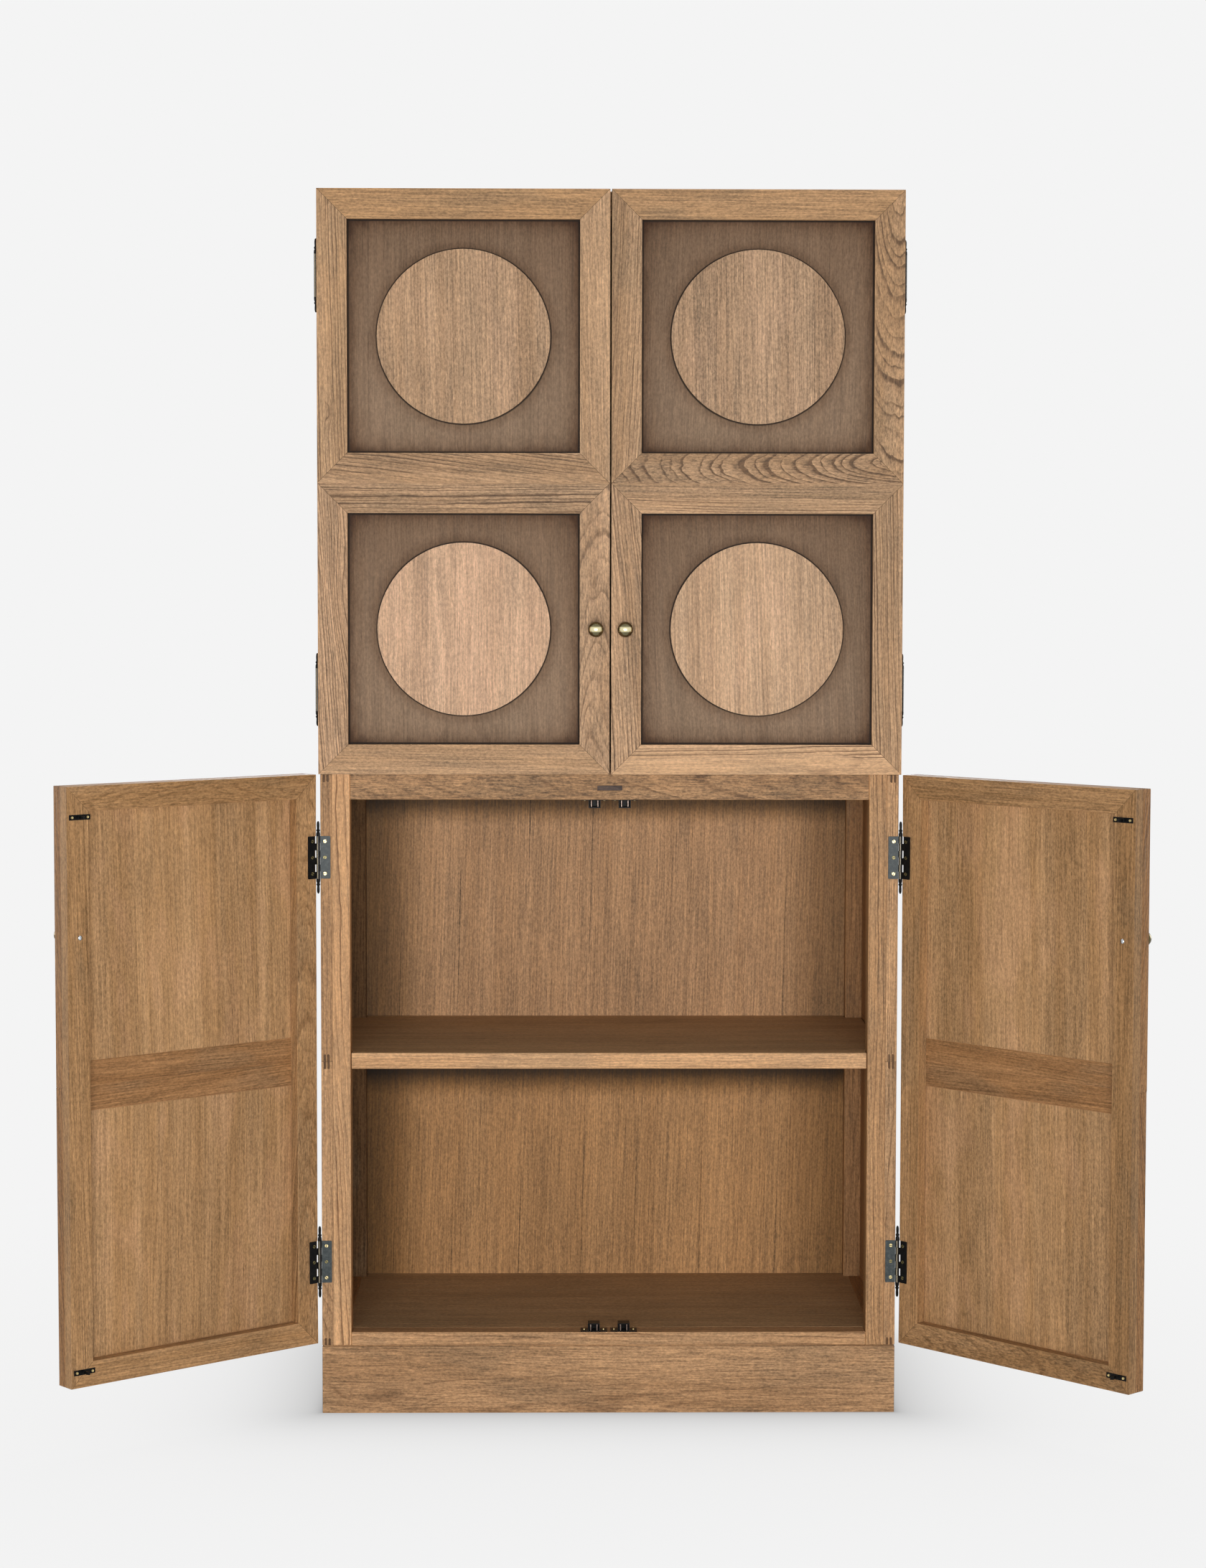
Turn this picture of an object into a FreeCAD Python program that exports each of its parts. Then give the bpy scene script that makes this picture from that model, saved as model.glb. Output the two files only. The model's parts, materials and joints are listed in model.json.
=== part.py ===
import FreeCAD, Part

import math
import os
import re

import Sketcher

# A tall free-standing cabinet with four doors, in millimetres and degrees.
# X runs across with its zero in the middle, Y runs from the front to the back, Z runs up from the floor.
# Each door and each side is built in layers: mitred squares with hidden keys outside, a frame or legs inside.

SIZES = {
    # Whole cabinet
    "cabinet_width": 1016,
    "carcass_depth": 500,
    "plinth_height": 122,
    "door_reveal": 4,
    "door_height": 1011,
    "door_gap": 3,
    "door_clearance": 1,
    # Layers of the doors and of the sides
    "front_layer": 20,
    "back_layer": 20,
    "side_layer": 20,
    "square_member": 52,
    "panel_thickness": 7,
    "panel_seat": 10,
    "key_reach": 13,
    "key_thickness": 3,
    "disc_diameter": 300,
    "disc_thickness": 8,
    # Carcass inside the sides
    "leg_width": 32,
    "leg_depth": 40,
    "board_thickness": 23,
    "inner_rail_thickness": 22,
    "rail_drop": 44,
    "back_panel_thickness": 9,
    "back_panel_inset": 5,
    "back_seat": 10,
    # Shelves
    "shelf_thickness": 28,
    "shelf_height": 471,
    "shelf_gap": 1,
    "shelf_setback": 4,
    "shelf_lipping": 12,
    "bearer_size": 20,
    # Plinth and the inlay in the middle rail
    "plinth_board": 22,
    "plinth_groove": 2.6,
    "plinth_bearer_width": 44,
    "inlay_width": 44,
    "inlay_height": 9,
    "inlay_thickness": 3,
    "inlay_rise": 16,
    # Hinges
    "hinge_inset": 146,
    "hinge_height": 75,
    "leaf_width": 17.5,
    "leaf_thickness": 2,
    "barrel_diameter": 7,
    "barrel_gap": 0.3,
    "knuckle_gap": 0.3,
    "pin_diameter": 3.5,
    "pin_play": 0.05,
    "finial_height": 26.5,
    # Knobs
    "knob_inset": 24,
    "knob_diameter": 25.5,
    "knob_neck": 10,
    "knob_rose": 16,
    "knob_rose_thickness": 2,
    "knob_reach": 31,
    "knob_thread_depth": 9,
    "knob_screw": 4,
    "knob_screw_play": 0.1,
    "knob_screw_head": 8.5,
    "knob_screw_head_height": 2.4,
    # Roller catches and their strikes
    "catch_offset": 26.5,
    "catch_setback": 2,
    "catch_width": 21,
    "catch_height": 15,
    "catch_depth": 24,
    "catch_wall": 1.8,
    "flange_width": 47,
    "flange_depth": 27,
    "flange_thickness": 1.5,
    "roller_diameter": 4.8,
    "roller_gap": 6.8,
    "strike_length": 41,
    "strike_height": 9,
    "strike_thickness": 1.2,
    "spear_reach": 16,
    "spear_head": 6,
    "spear_neck": 3.6,
    "spear_thickness": 5,
    # How far the doors stand open, in degrees
    "upper_left_angle": 0,
    "upper_right_angle": 0,
    "lower_left_angle": 140,
    "lower_right_angle": 133,
}

# How many of each piece repeat, and how many flat sides the small round pieces have

SIDE_SQUARES = 4
KNUCKLES = 5
KEYS_PER_CORNER = 2
DISC_SIDES = 72
KNOB_SIDES = 12
BARREL_SIDES = 8
PIN_SIDES = 6
SCREW_SIDES = 6

# Turned profiles, as shares of the barrel's radius and the finial's height, and the ball's rings in degrees

FINIAL_RADIUS_SHARES = (1, 0.69, 0.97, 0.56, 0.3)
FINIAL_HEIGHT_SHARES = (0, 0.28, 0.38, 0.5, 1)
BALL_LATITUDES = (48, 72, 96, 120, 144, 168)

# A spear's neck and shoulder along its reach, and its tip across its head

SPEAR_NECK_SHARE = 0.55
SPEAR_SHOULDER_SHARE = 0.65
SPEAR_TIP_SHARE = 0.4

# Places that follow from the sizes

PLACES = {
    "half_width": "cabinet_width / 2",
    "wall_face": "half_width - side_layer",
    "leg_face": "wall_face - leg_width",
    "board_end": "wall_face - inner_rail_thickness",
    "panel_end": "leg_face + back_seat",
    "leg_back": "carcass_depth - leg_depth",
    "panel_back": "carcass_depth - back_panel_inset",
    "panel_face": "panel_back - back_panel_thickness",
    "lower_door_bottom": "plinth_height + door_reveal",
    "lower_door_top": "lower_door_bottom + door_height",
    "upper_door_bottom": "lower_door_top + door_gap",
    "cabinet_top": "upper_door_bottom + door_height",
    "top_board_bottom": "cabinet_top - board_thickness",
    "lower_floor": "plinth_height + board_thickness",
    "upper_floor": "lower_door_top + board_thickness",
    "middle_rail_bottom": "lower_door_top - rail_drop",
    "top_rail_bottom": "cabinet_top - rail_drop",
    "back_split": "lower_door_top + board_thickness / 2",
    "side_square": f"(cabinet_top - plinth_height) / {SIDE_SQUARES}",
    "door_width": "(cabinet_width - door_gap) / 2",
    "door_square": "door_height / 2",
    "back_member": "square_member - panel_seat",
    "pin_offset": "barrel_diameter / 2 + barrel_gap",
    "door_back": "door_clearance / 2",
    "layer_seam": "door_back + back_layer",
    "door_front": "layer_seam + front_layer",
    "knob_across": "pin_offset + door_width - knob_inset",
    "strike_across": "pin_offset + half_width - catch_offset",
    "knuckle": f"hinge_height / {KNUCKLES}",
    "roller_offset": "(roller_gap + roller_diameter) / 2",
}

doc = FreeCAD.newDocument("cabinet")
sheet = doc.addObject("Spreadsheet::Sheet", "dims")
for row, (size_name, number) in enumerate(SIZES.items(), start=1):
    sheet.set(f"A{row}", size_name)
    sheet.set(f"B{row}", str(number))
    sheet.setAlias(f"B{row}", size_name)
doc.recompute()

WORD = re.compile(r"[a-z][a-z_]+")
ACROSS = FreeCAD.Vector(1, 0, 0)
ALONG = FreeCAD.Vector(0, 1, 0)
UP = FreeCAD.Vector(0, 0, 1)
LEVEL = FreeCAD.Rotation()
UPRIGHT = FreeCAD.Rotation(ACROSS, 90)
subparts = []


def formula(text):
    """The text with each place worked out and each size read from the sheet."""

    def spelled(match):
        word = match.group()
        if word in PLACES:
            return f"({formula(PLACES[word])})"
        return f"dims.{word}" if word in SIZES else word

    return WORD.sub(spelled, str(text))


def value(text):
    """The number that a formula gives now."""
    return float(sheet.evalExpression(formula(text)))


def bind(thing, **sizes):
    """Tie the properties of an object to formulas."""
    for name, text in sizes.items():
        thing.setExpression(name, formula(text))
    return thing


def place(thing, x="0", y="0", z="0", turn=LEVEL):
    """Turn an object and move it to a place given by formulas."""
    thing.Placement = FreeCAD.Placement(FreeCAD.Vector(), turn)
    for way, text in zip("xyz", (x, y, z)):
        thing.setExpression(f"Placement.Base.{way}", formula(text))
    return thing


def box(name, x, y, z):
    """A block between two places along each axis."""
    block = doc.addObject("Part::Box", name)
    for size, (low, high) in (("Length", x), ("Width", y), ("Height", z)):
        bind(block, **{size: f"({high}) - ({low})"})
    return place(block, x[0], y[0], z[0])


def sided_rod(name, sides, radius, height, x="0", y="0", z="0", turn=LEVEL):
    """A bar with flat sides whose corners lie on a circle."""
    bar = bind(doc.addObject("Part::Prism", name), Circumradius=radius, Height=height)
    bar.Polygon = sides
    return place(bar, x, y, z, turn)


def sided_hole(name, sides, radius, height, x="0", y="0", z="0", turn=LEVEL):
    """A tool for a hole whose flat sides touch a circle, so that a bar of that radius turns in it."""
    corner_share = 1 / math.cos(math.pi / sides)
    return sided_rod(name, sides, f"({radius}) * {corner_share:.9f}", height, x, y, z, turn)


def turned(name, sides, rings):
    """A turned shape with flat sides, through rings given as a radius and a height, the lowest first."""
    circles = []
    for radius, height in rings:
        reach, level = value(radius), value(height)
        circles.append([
            FreeCAD.Vector(reach * math.cos(turn), reach * math.sin(turn), level)
            for turn in (2 * math.pi * side / sides for side in range(sides))
        ])
    loops = [circles[0][::-1], circles[-1]]
    for low, high in zip(circles, circles[1:]):
        for side in range(sides):
            before = side - 1
            loops.append([low[before], low[side], high[side], high[before]])
    shape = doc.addObject("Part::Feature", name)
    shape.Shape = Part.Solid(Part.Shell([Part.Face(Part.makePolygon(loop + loop[:1])) for loop in loops]))
    return shape


def wedge(name, x, far_x, y, z):
    """A prism whose width changes along Y, from x at its start to far_x at its end."""
    block = doc.addObject("Part::Wedge", name)
    return bind(
        block, Xmin=x[0], Xmax=x[1], X2min=far_x[0], X2max=far_x[1],
        Ymin=y[0], Ymax=y[1], Zmin=z[0], Zmax=z[1], Z2min=z[0], Z2max=z[1],
    )


def group(name, things, x="0", y="0", z="0", turn=LEVEL):
    """Several objects held together and placed as one."""
    held = doc.addObject("Part::Compound", name)
    held.Links = things
    return place(held, x, y, z, turn)


def cut(name, base, *tools):
    """An object with one or more others taken away from it."""
    rest = doc.addObject("Part::Cut", name)
    rest.Base = base
    rest.Tool = tools[0] if len(tools) == 1 else group(f"{name}_tools", list(tools))
    return rest


def fuse(name, *things):
    """Several objects made one solid."""
    whole = doc.addObject("Part::MultiFuse", name)
    whole.Shapes = list(things)
    return whole


def mirrored(name, source):
    """The same thing for the other side of the cabinet."""
    other = doc.addObject("Part::Mirroring", name)
    other.Source = source
    other.Normal = ACROSS
    return other


def subpart(thing, label):
    """Keep an object as a sub-part of the cabinet under its own name."""
    thing.Label = label
    subparts.append(thing)
    return thing


def carcass_part(label, *things):
    """A sub-part drawn from the carcass front and set with the origin under the middle."""
    return subpart(group(label, list(things), y="-carcass_depth / 2"), label)


def across(side, near, far):
    """Two places measured from the middle towards one side."""
    return (near, far) if side == "right" else (f"-({far})", f"-({near})")


def towards(side, place_now):
    """A place on one side of the middle."""
    return place_now if side == "right" else f"-({place_now})"


def outline(body, points):
    """A closed outline of straight lines on the body's XZ plane, through points given as formulas."""
    sketch = body.newObject("Sketcher::SketchObject", f"{body.Name}_outline")
    plane = next(part for part in body.Origin.OriginFeatures if part.Role == "XZ_Plane")
    sketch.AttachmentSupport = [(plane, "")]
    sketch.MapMode = "FlatFace"
    corners = [FreeCAD.Vector(value(across_text), value(along_text), 0) for across_text, along_text in points]
    for index, corner in enumerate(corners):
        sketch.addGeometry(Part.LineSegment(corners[index - 1], corner), False)
    for index, point in enumerate(points):
        before = (index - 1) % len(points)
        sketch.addConstraint(Sketcher.Constraint("Coincident", before, 2, index, 1))
        for kind, text, place_now in zip(("DistanceX", "DistanceY"), point, corners[index]):
            number = sketch.addConstraint(Sketcher.Constraint(kind, -1, 1, index, 2, place_now))
            sketch.setExpression(f"Constraints[{number}]", formula(text))
    return sketch


# Mitred frames with keys across their corners


def key(name, length, edge, level, end):
    """A thin triangular key at the left end (-1) or the right end (1) of a member."""
    corner = f"{end} * ({length}) / 2"
    reach = f"{end} * (({length}) / 2 - key_reach)"
    near = (corner, reach) if end < 0 else (reach, corner)
    return wedge(
        name, near, (corner, corner),
        (f"-({edge})", f"-({edge}) + key_reach"), (level, f"{level} + key_thickness"),
    )


def member(name, length, edge, width, thickness, rebated, levels, pockets):
    """A board mitred at both ends, its outer edge a distance below the middle of its frame."""
    board = wedge(
        name, (f"-({length}) / 2", f"({length}) / 2"),
        (f"-({length}) / 2 + {width}", f"({length}) / 2 - {width}"),
        (f"-({edge})", f"-({edge}) + {width}"), ("0", thickness),
    )
    tools = list(pockets)
    if rebated:
        tools.append(box(
            f"{name}_rebate", (f"-({length}) / 2", f"({length}) / 2"),
            (f"-({edge}) + {width} - panel_seat", f"-({edge}) + {width}"), ("0", "panel_thickness"),
        ))
    for number, level in enumerate(levels):
        tools.append(key(f"{name}_slot_{number}", length, edge, level, -1))
        tools.append(key(f"{name}_far_slot_{number}", length, edge, level, 1))
    return cut(f"{name}_cut", board, *tools) if tools else board


def mitred_frame(name, wide, tall, width, thickness, rebated=False, keyed=False, pockets=None):
    """Four mitred members and their keys, lying flat with the back face down and the middle at zero.

    The pockets are tools for one member, drawn as if that member were the bottom one.
    """
    pockets = pockets or {}
    levels = []
    if keyed:
        levels = [
            f"{thickness} * {number} / {KEYS_PER_CORNER + 1} - key_thickness / 2"
            for number in range(1, KEYS_PER_CORNER + 1)
        ]
    pieces = []
    for quarter, where in enumerate(("bottom", "right", "top", "left")):
        length, edge = (tall, f"({wide}) / 2") if quarter % 2 else (wide, f"({tall}) / 2")
        turn = FreeCAD.Rotation(UP, 90 * quarter)
        tools = pockets.get(where, ())
        board = member(f"{name}_{where}", length, edge, width, thickness, rebated, levels, tools)
        held = [board]
        for number, level in enumerate(levels):
            held.append(key(f"{name}_{where}_key_{number}", length, edge, level, -1))
        pieces.append(group(f"{name}_{where}_placed", held, turn=turn))
    return pieces


# Plinth


def groove(name, start, length):
    """A square bar on its edge, which bevels the top front edge of a plinth board."""
    side = "plinth_groove * sqrt(2)"
    bar = bind(doc.addObject("Part::Box", name), Length=length, Width=side, Height=side)
    return place(bar, start, "0", "plinth_height - plinth_groove", FreeCAD.Rotation(ACROSS, 45))


def plinth():
    """Four boards on edge round the foot, with a bearer from front to back under the middle."""
    inner = "half_width - plinth_board"
    front = wedge(
        "plinth_front_board", ("-half_width", "half_width"), (f"-({inner})", inner),
        ("0", "plinth_board"), ("0", "plinth_height"),
    )
    carcass_part("plinth_front", cut(
        "plinth_front_grooved", front, groove("plinth_front_groove", "-half_width", "cabinet_width"),
    ))
    sides = []
    for side, turn in (("left", -90), ("right", 90)):
        outward = across(side, "0", "carcass_depth")
        inward = across(side, "plinth_board", "carcass_depth")
        board = wedge(f"plinth_{side}_board", outward, inward, ("0", "plinth_board"), ("0", "plinth_height"))
        tool = groove(f"plinth_{side}_groove", outward[0], "carcass_depth")
        sides.append(group(
            f"plinth_{side}_placed", [cut(f"plinth_{side}_grooved", board, tool)],
            towards(side, "half_width"), turn=FreeCAD.Rotation(UP, turn),
        ))
    back = box(
        "plinth_back_board", (f"-({inner})", inner),
        ("carcass_depth - plinth_board", "carcass_depth"), ("0", "plinth_height"),
    )
    carcass_part("plinth_frame", *sides, back)
    bearer = box(
        "plinth_bearer_board", ("-plinth_bearer_width / 2", "plinth_bearer_width / 2"),
        ("plinth_board", "carcass_depth - plinth_board"), ("0", "plinth_height"),
    )
    carcass_part("plinth_bearer", bearer)


# Sides


def hinge_heights():
    """The heights of the four hinges on one side, from the lowest."""
    return [
        f"{bottom} + {rise}"
        for bottom in ("lower_door_bottom", "upper_door_bottom")
        for rise in ("hinge_inset", "door_height - hinge_inset")
    ]


def side_frames():
    """Four keyed squares stacked on each side, with a mortise for one hinge in the front member of each."""
    squares, panels = [], []
    for number, height in enumerate(hinge_heights()):
        middle = f"plinth_height + side_square * ({number} + 1 / 2)"
        rise = f"{height} - ({middle})"
        mortise = box(
            f"side_mortise_{number}", (f"{rise} - hinge_height / 2", f"{rise} + hinge_height / 2"),
            ("-carcass_depth / 2", "-carcass_depth / 2 + leaf_thickness"),
            ("side_layer - leaf_width", "side_layer"),
        )
        pieces = mitred_frame(
            f"side_square_{number}", "carcass_depth", "side_square", "square_member", "side_layer",
            rebated=True, keyed=True, pockets={"right": [mortise]},
        )
        squares.append(group(f"side_square_{number}", pieces, y=middle))
        half_wide = "carcass_depth / 2 - back_member"
        half_tall = "side_square / 2 - back_member"
        panels.append(box(
            f"side_panel_{number}", (f"-({half_wide})", half_wide),
            (f"{middle} - ({half_tall})", f"{middle} + {half_tall}"), ("0", "panel_thickness"),
        ))
    turn = FreeCAD.Rotation(UP, -90).multiply(UPRIGHT)
    for things, label in ((squares, "side_frames"), (panels, "side_panels")):
        left = group(f"{label}_left", things, "-wall_face", "carcass_depth / 2", turn=turn)
        carcass_part(f"left_{label}", left)
        carcass_part(f"right_{label}", mirrored(f"{label}_right", left))


# Legs, rails and boards


def legs():
    """Four legs inside the sides, the back ones rebated for the back panels."""
    height = ("plinth_height", "top_board_bottom")
    for side in ("left", "right"):
        width = across(side, "leg_face", "wall_face")
        front = box(f"front_{side}_leg_board", width, ("0", "leg_depth"), height)
        carcass_part(f"front_{side}_leg", front)
        back = box(f"back_{side}_leg_board", width, ("leg_back", "carcass_depth"), height)
        rebate = box(
            f"back_{side}_leg_rebate", across(side, "leg_face", "panel_end"),
            ("panel_face", "carcass_depth"), height,
        )
        carcass_part(f"back_{side}_leg", cut(f"back_{side}_leg_cut", back, rebate))


def notched_board(name, bottom, top):
    """A board between the front rail and the back panel, notched round the back legs."""
    height = (bottom, top)
    board = box(f"{name}_blank", ("-board_end", "board_end"), ("leg_depth", "panel_face"), height)
    notches = [
        box(f"{name}_{side}_notch", across(side, "leg_face", "board_end"), ("leg_back", "panel_face"), height)
        for side in ("left", "right")
    ]
    return cut(f"{name}_notched", board, *notches)


def rails_and_boards():
    """The level pieces between the sides, from the floor of the lower part to the top."""
    clear = ("-leg_face", "leg_face")
    front = ("0", "leg_depth")
    carcass_part("bottom_board", notched_board("bottom_board", "plinth_height", "lower_floor"))
    carcass_part("bottom_rail", box("bottom_rail_board", clear, front, ("plinth_height", "lower_floor")))
    carcass_part("middle_board", notched_board("middle_board", "lower_door_top", "upper_floor"))
    rail = box("middle_rail_board", clear, front, ("middle_rail_bottom", "upper_floor"))
    inlay_bottom = "middle_rail_bottom + inlay_rise"
    inlay = box(
        "rail_inlay_strip", ("-inlay_width / 2", "inlay_width / 2"), ("0", "inlay_thickness"),
        (inlay_bottom, f"{inlay_bottom} + inlay_height"),
    )
    carcass_part("middle_rail", cut("middle_rail_cut", rail, inlay))
    carcass_part("rail_inlay", inlay)
    carcass_part("top_rail", box("top_rail_board", clear, front, ("top_rail_bottom", "top_board_bottom")))
    carcass_part("top_board", box(
        "top_board_blank", ("-wall_face", "wall_face"), ("0", "carcass_depth"),
        ("top_board_bottom", "cabinet_top"),
    ))
    rails = []
    for level, bottom in (
        ("bottom", "plinth_height"), ("middle", "lower_door_top"),
        ("top", "top_board_bottom - board_thickness"),
    ):
        for side in ("left", "right"):
            rails.append(box(
                f"{side}_{level}_inner_rail", across(side, "board_end", "wall_face"),
                ("leg_depth", "leg_back"), (bottom, f"{bottom} + board_thickness"),
            ))
    carcass_part("side_inner_rails", *rails)
    backs = [
        box(f"{level}_back_panel", ("-panel_end", "panel_end"), ("panel_face", "panel_back"), height)
        for level, height in (
            ("lower", ("plinth_height", "back_split")), ("upper", ("back_split", "top_board_bottom")),
        )
    ]
    carcass_part("back_panels", *backs)


# Shelves


def shelves():
    """A lipped shelf in each half of the cabinet, on a bearer along each wall."""
    bearers = []
    for level in ("lower", "upper"):
        bottom = f"{level}_floor + shelf_height"
        height = (bottom, f"{bottom} + shelf_thickness")
        narrow, wide = "leg_face - shelf_gap", "wall_face - shelf_gap"
        lip_back = "shelf_setback + shelf_lipping"
        board = box(f"{level}_shelf_blank", (f"-({wide})", wide), (lip_back, "panel_face - shelf_gap"), height)
        notches = [
            box(f"{level}_shelf_{side}_{end}_notch", across(side, narrow, wide), depth, height)
            for side in ("left", "right")
            for end, depth in (
                ("front", (lip_back, "leg_depth + shelf_gap")),
                ("back", ("leg_back - shelf_gap", "panel_face - shelf_gap")),
            )
        ]
        lipping = box(f"{level}_shelf_lip", (f"-({narrow})", narrow), ("shelf_setback", lip_back), height)
        carcass_part(f"{level}_shelf", cut(f"{level}_shelf_notched", board, *notches), lipping)
        for side in ("left", "right"):
            bearers.append(box(
                f"{level}_{side}_bearer", across(side, "wall_face - bearer_size", "wall_face"),
                ("leg_depth", "leg_back"), (f"{bottom} - bearer_size", bottom),
            ))
    carcass_part("shelf_bearers", *bearers)


# Hinges


def hinge_leaf(name, rise, knuckles, inward):
    """A plate and its share of the barrel round the pin; inward is the way the wood lies along Y."""
    plate_side = ("door_back", "door_back + leaf_thickness")
    if inward < 0:
        plate_side = ("-door_back - leaf_thickness", "-door_back")
    height = (f"{rise} - hinge_height / 2", f"{rise} + hinge_height / 2")
    pieces = [box(f"{name}_plate", ("pin_offset", "pin_offset + leaf_width"), plate_side, height)]
    for number in knuckles:
        low = f"{height[0]} + {number} * knuckle + knuckle_gap / 2"
        high = f"{height[0]} + {number + 1} * knuckle - knuckle_gap / 2"
        pieces.append(box(f"{name}_tab_{number}", ("0", "pin_offset"), plate_side, (low, high)))
        pieces.append(sided_rod(
            f"{name}_knuckle_{number}", BARREL_SIDES, "barrel_diameter / 2", f"({high}) - ({low})", z=low,
        ))
    bore_radius = "pin_diameter / 2 + pin_play"
    bore = sided_hole(f"{name}_bore", PIN_SIDES, bore_radius, "hinge_height", z=height[0])
    return cut(f"{name}_drilled", fuse(f"{name}_blank", *pieces), bore)


def hinge_pin(name, rise):
    """A pin through the barrel with a turned finial at each end."""
    rings = [
        (f"{radius} * barrel_diameter / 2", f"hinge_height / 2 + {height} * finial_height")
        for radius, height in zip(FINIAL_RADIUS_SHARES, FINIAL_HEIGHT_SHARES)
    ]
    lower_rings = [(radius, f"-({height})") for radius, height in rings[::-1]]
    foot = "-hinge_height / 2"
    shank = sided_rod(f"{name}_shank", PIN_SIDES, "pin_diameter / 2", "hinge_height", z=foot)
    upper = turned(f"{name}_upper_finial", BARREL_SIDES, rings)
    lower = turned(f"{name}_lower_finial", BARREL_SIDES, lower_rings)
    return group(name, [fuse(f"{name}_whole", shank, upper, lower)], z=rise)


def carcass_hinges():
    """The leaves screwed to the sides, and the pins that the doors turn on."""
    leaves, pins = [], []
    for number, height in enumerate(hinge_heights()):
        leaves.append(hinge_leaf(f"side_leaf_{number}", height, (0, 2, 4), 1))
        pins.append(hinge_pin(f"hinge_pin_{number}", height))
    for things, label in ((leaves, "carcass_hinge_leaves"), (pins, "hinge_pins")):
        left = group(f"{label}_left", things, "-half_width - pin_offset", "-door_back")
        carcass_part(label, left, mirrored(f"{label}_right", left))


# Roller catches and strikes


def catch_places():
    """Where the catches stand: the height, and whether they hang there."""
    return (
        ("lower_bottom", "lower_floor", False), ("lower_top", "middle_rail_bottom", True),
        ("upper_bottom", "upper_floor", False), ("upper_top", "top_rail_bottom", True),
    )


def catches():
    """Eight catches: a flange, a housing open to the front and two rollers on upright axes."""
    flange = box(
        "catch_flange", ("-flange_width / 2", "flange_width / 2"), ("0", "flange_depth"),
        ("0", "flange_thickness"),
    )
    shell = box(
        "catch_shell", ("-catch_width / 2", "catch_width / 2"), ("0", "catch_depth"), ("0", "catch_height"),
    )
    cavity = box(
        "catch_cavity", ("-catch_width / 2 + catch_wall", "catch_width / 2 - catch_wall"),
        ("0", "catch_depth - catch_wall"), ("flange_thickness", "catch_height - catch_wall"),
    )
    housing = cut("catch_housing", fuse("catch_blank", flange, shell), cavity)
    rollers = [
        sided_rod(
            f"catch_{side}_roller", PIN_SIDES, "roller_diameter / 2",
            "catch_height - catch_wall - flange_thickness",
            towards(side, "roller_offset"), "catch_wall + roller_diameter / 2", "flange_thickness",
        )
        for side in ("left", "right")
    ]
    master = group("catch_master", [housing] + rollers)
    upside_down = FreeCAD.Rotation(ALONG, 180)
    placed = [
        group(
            f"{name}_{side}_catch", [master], towards(side, "catch_offset"), "catch_setback", height,
            upside_down if hangs else LEVEL,
        )
        for name, height, hangs in catch_places()
        for side in ("left", "right")
    ]
    carcass_part("catches", *placed)


def spear(name):
    """The arrow-shaped tongue of a strike, seen from above, pointing along Y from the door's back."""
    body = doc.addObject("PartDesign::Body", name)
    half = [
        ("spear_neck / 2", "0"), ("spear_neck / 2", f"spear_reach * {SPEAR_NECK_SHARE}"),
        ("spear_head / 2", f"spear_reach * {SPEAR_SHOULDER_SHARE}"),
        (f"spear_head / 2 * {SPEAR_TIP_SHARE}", "spear_reach"),
    ]
    other = [(f"-{across_text}", along) for across_text, along in half[::-1]]
    sketch = outline(body, half + other)
    pad = body.newObject("PartDesign::Pad", f"{name}_pad")
    pad.Profile = sketch
    pad.Midplane = True
    bind(pad, Length="spear_thickness")
    return body


def door_strikes(name, door_bottom, floor, ceiling):
    """Two strikes on the back of a door, level with the catches on the floor and under the ceiling."""
    placed = []
    for number, height in enumerate((f"{floor} + catch_height / 2", f"{ceiling} - catch_height / 2")):
        rise = f"{height} - {door_bottom}"
        plate = box(
            f"{name}_strike_plate_{number}",
            ("strike_across - strike_length / 2", "strike_across + strike_length / 2"),
            ("-door_back", "-door_back + strike_thickness"),
            (f"{rise} - strike_height / 2", f"{rise} + strike_height / 2"),
        )
        tongue = spear(f"{name}_spear_{number}")
        place(tongue, "strike_across", "-door_back", rise, FreeCAD.Rotation(ACROSS, -90))
        placed.append(fuse(f"{name}_strike_{number}", plate, tongue))
    return placed


# Doors, drawn closed with the pin at zero, the free edge along X and the front towards minus Y


def knob(name, rise):
    """A ball knob on a small rose, and the screw that holds it through the stile."""
    ball_middle = "(knob_reach - knob_diameter / 2)"
    rings = [
        ("knob_rose / 2", "0"), ("knob_neck / 2", "knob_rose_thickness"),
        ("knob_neck / 2", f"{ball_middle} - sqrt(knob_diameter ^ 2 - knob_neck ^ 2) / 2"),
    ]
    for latitude in BALL_LATITUDES:
        across_share, along_share = math.sin(math.radians(latitude)), math.cos(math.radians(latitude))
        height = f"{ball_middle} - knob_diameter / 2 * {along_share:.6f}"
        rings.append((f"knob_diameter / 2 * {across_share:.6f}", height))
    bore = sided_hole(f"{name}_bore", SCREW_SIDES, "knob_screw / 2 + knob_screw_play", "knob_thread_depth")
    drilled = cut(f"{name}_drilled", turned(f"{name}_blank", KNOB_SIDES, rings), bore)
    placed = group(f"{name}_placed", [drilled], "knob_across", "-door_front", rise, UPRIGHT)
    shank = sided_rod(
        f"{name}_screw_shank", SCREW_SIDES, "knob_screw / 2", "door_front - door_back + knob_thread_depth",
        "knob_across", "-door_back", rise, UPRIGHT,
    )
    head = sided_rod(
        f"{name}_screw_head", KNOB_SIDES, "knob_screw_head / 2", "knob_screw_head_height",
        "knob_across", "-door_back + knob_screw_head_height", rise, UPRIGHT,
    )
    return placed, fuse(f"{name}_screw_whole", shank, head)


def knob_hole(name, x, y, depth):
    """A hole for the knob's screw in a frame that lies flat."""
    return sided_hole(name, SCREW_SIDES, "knob_screw / 2 + knob_screw_play", depth, x, y)


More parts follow.
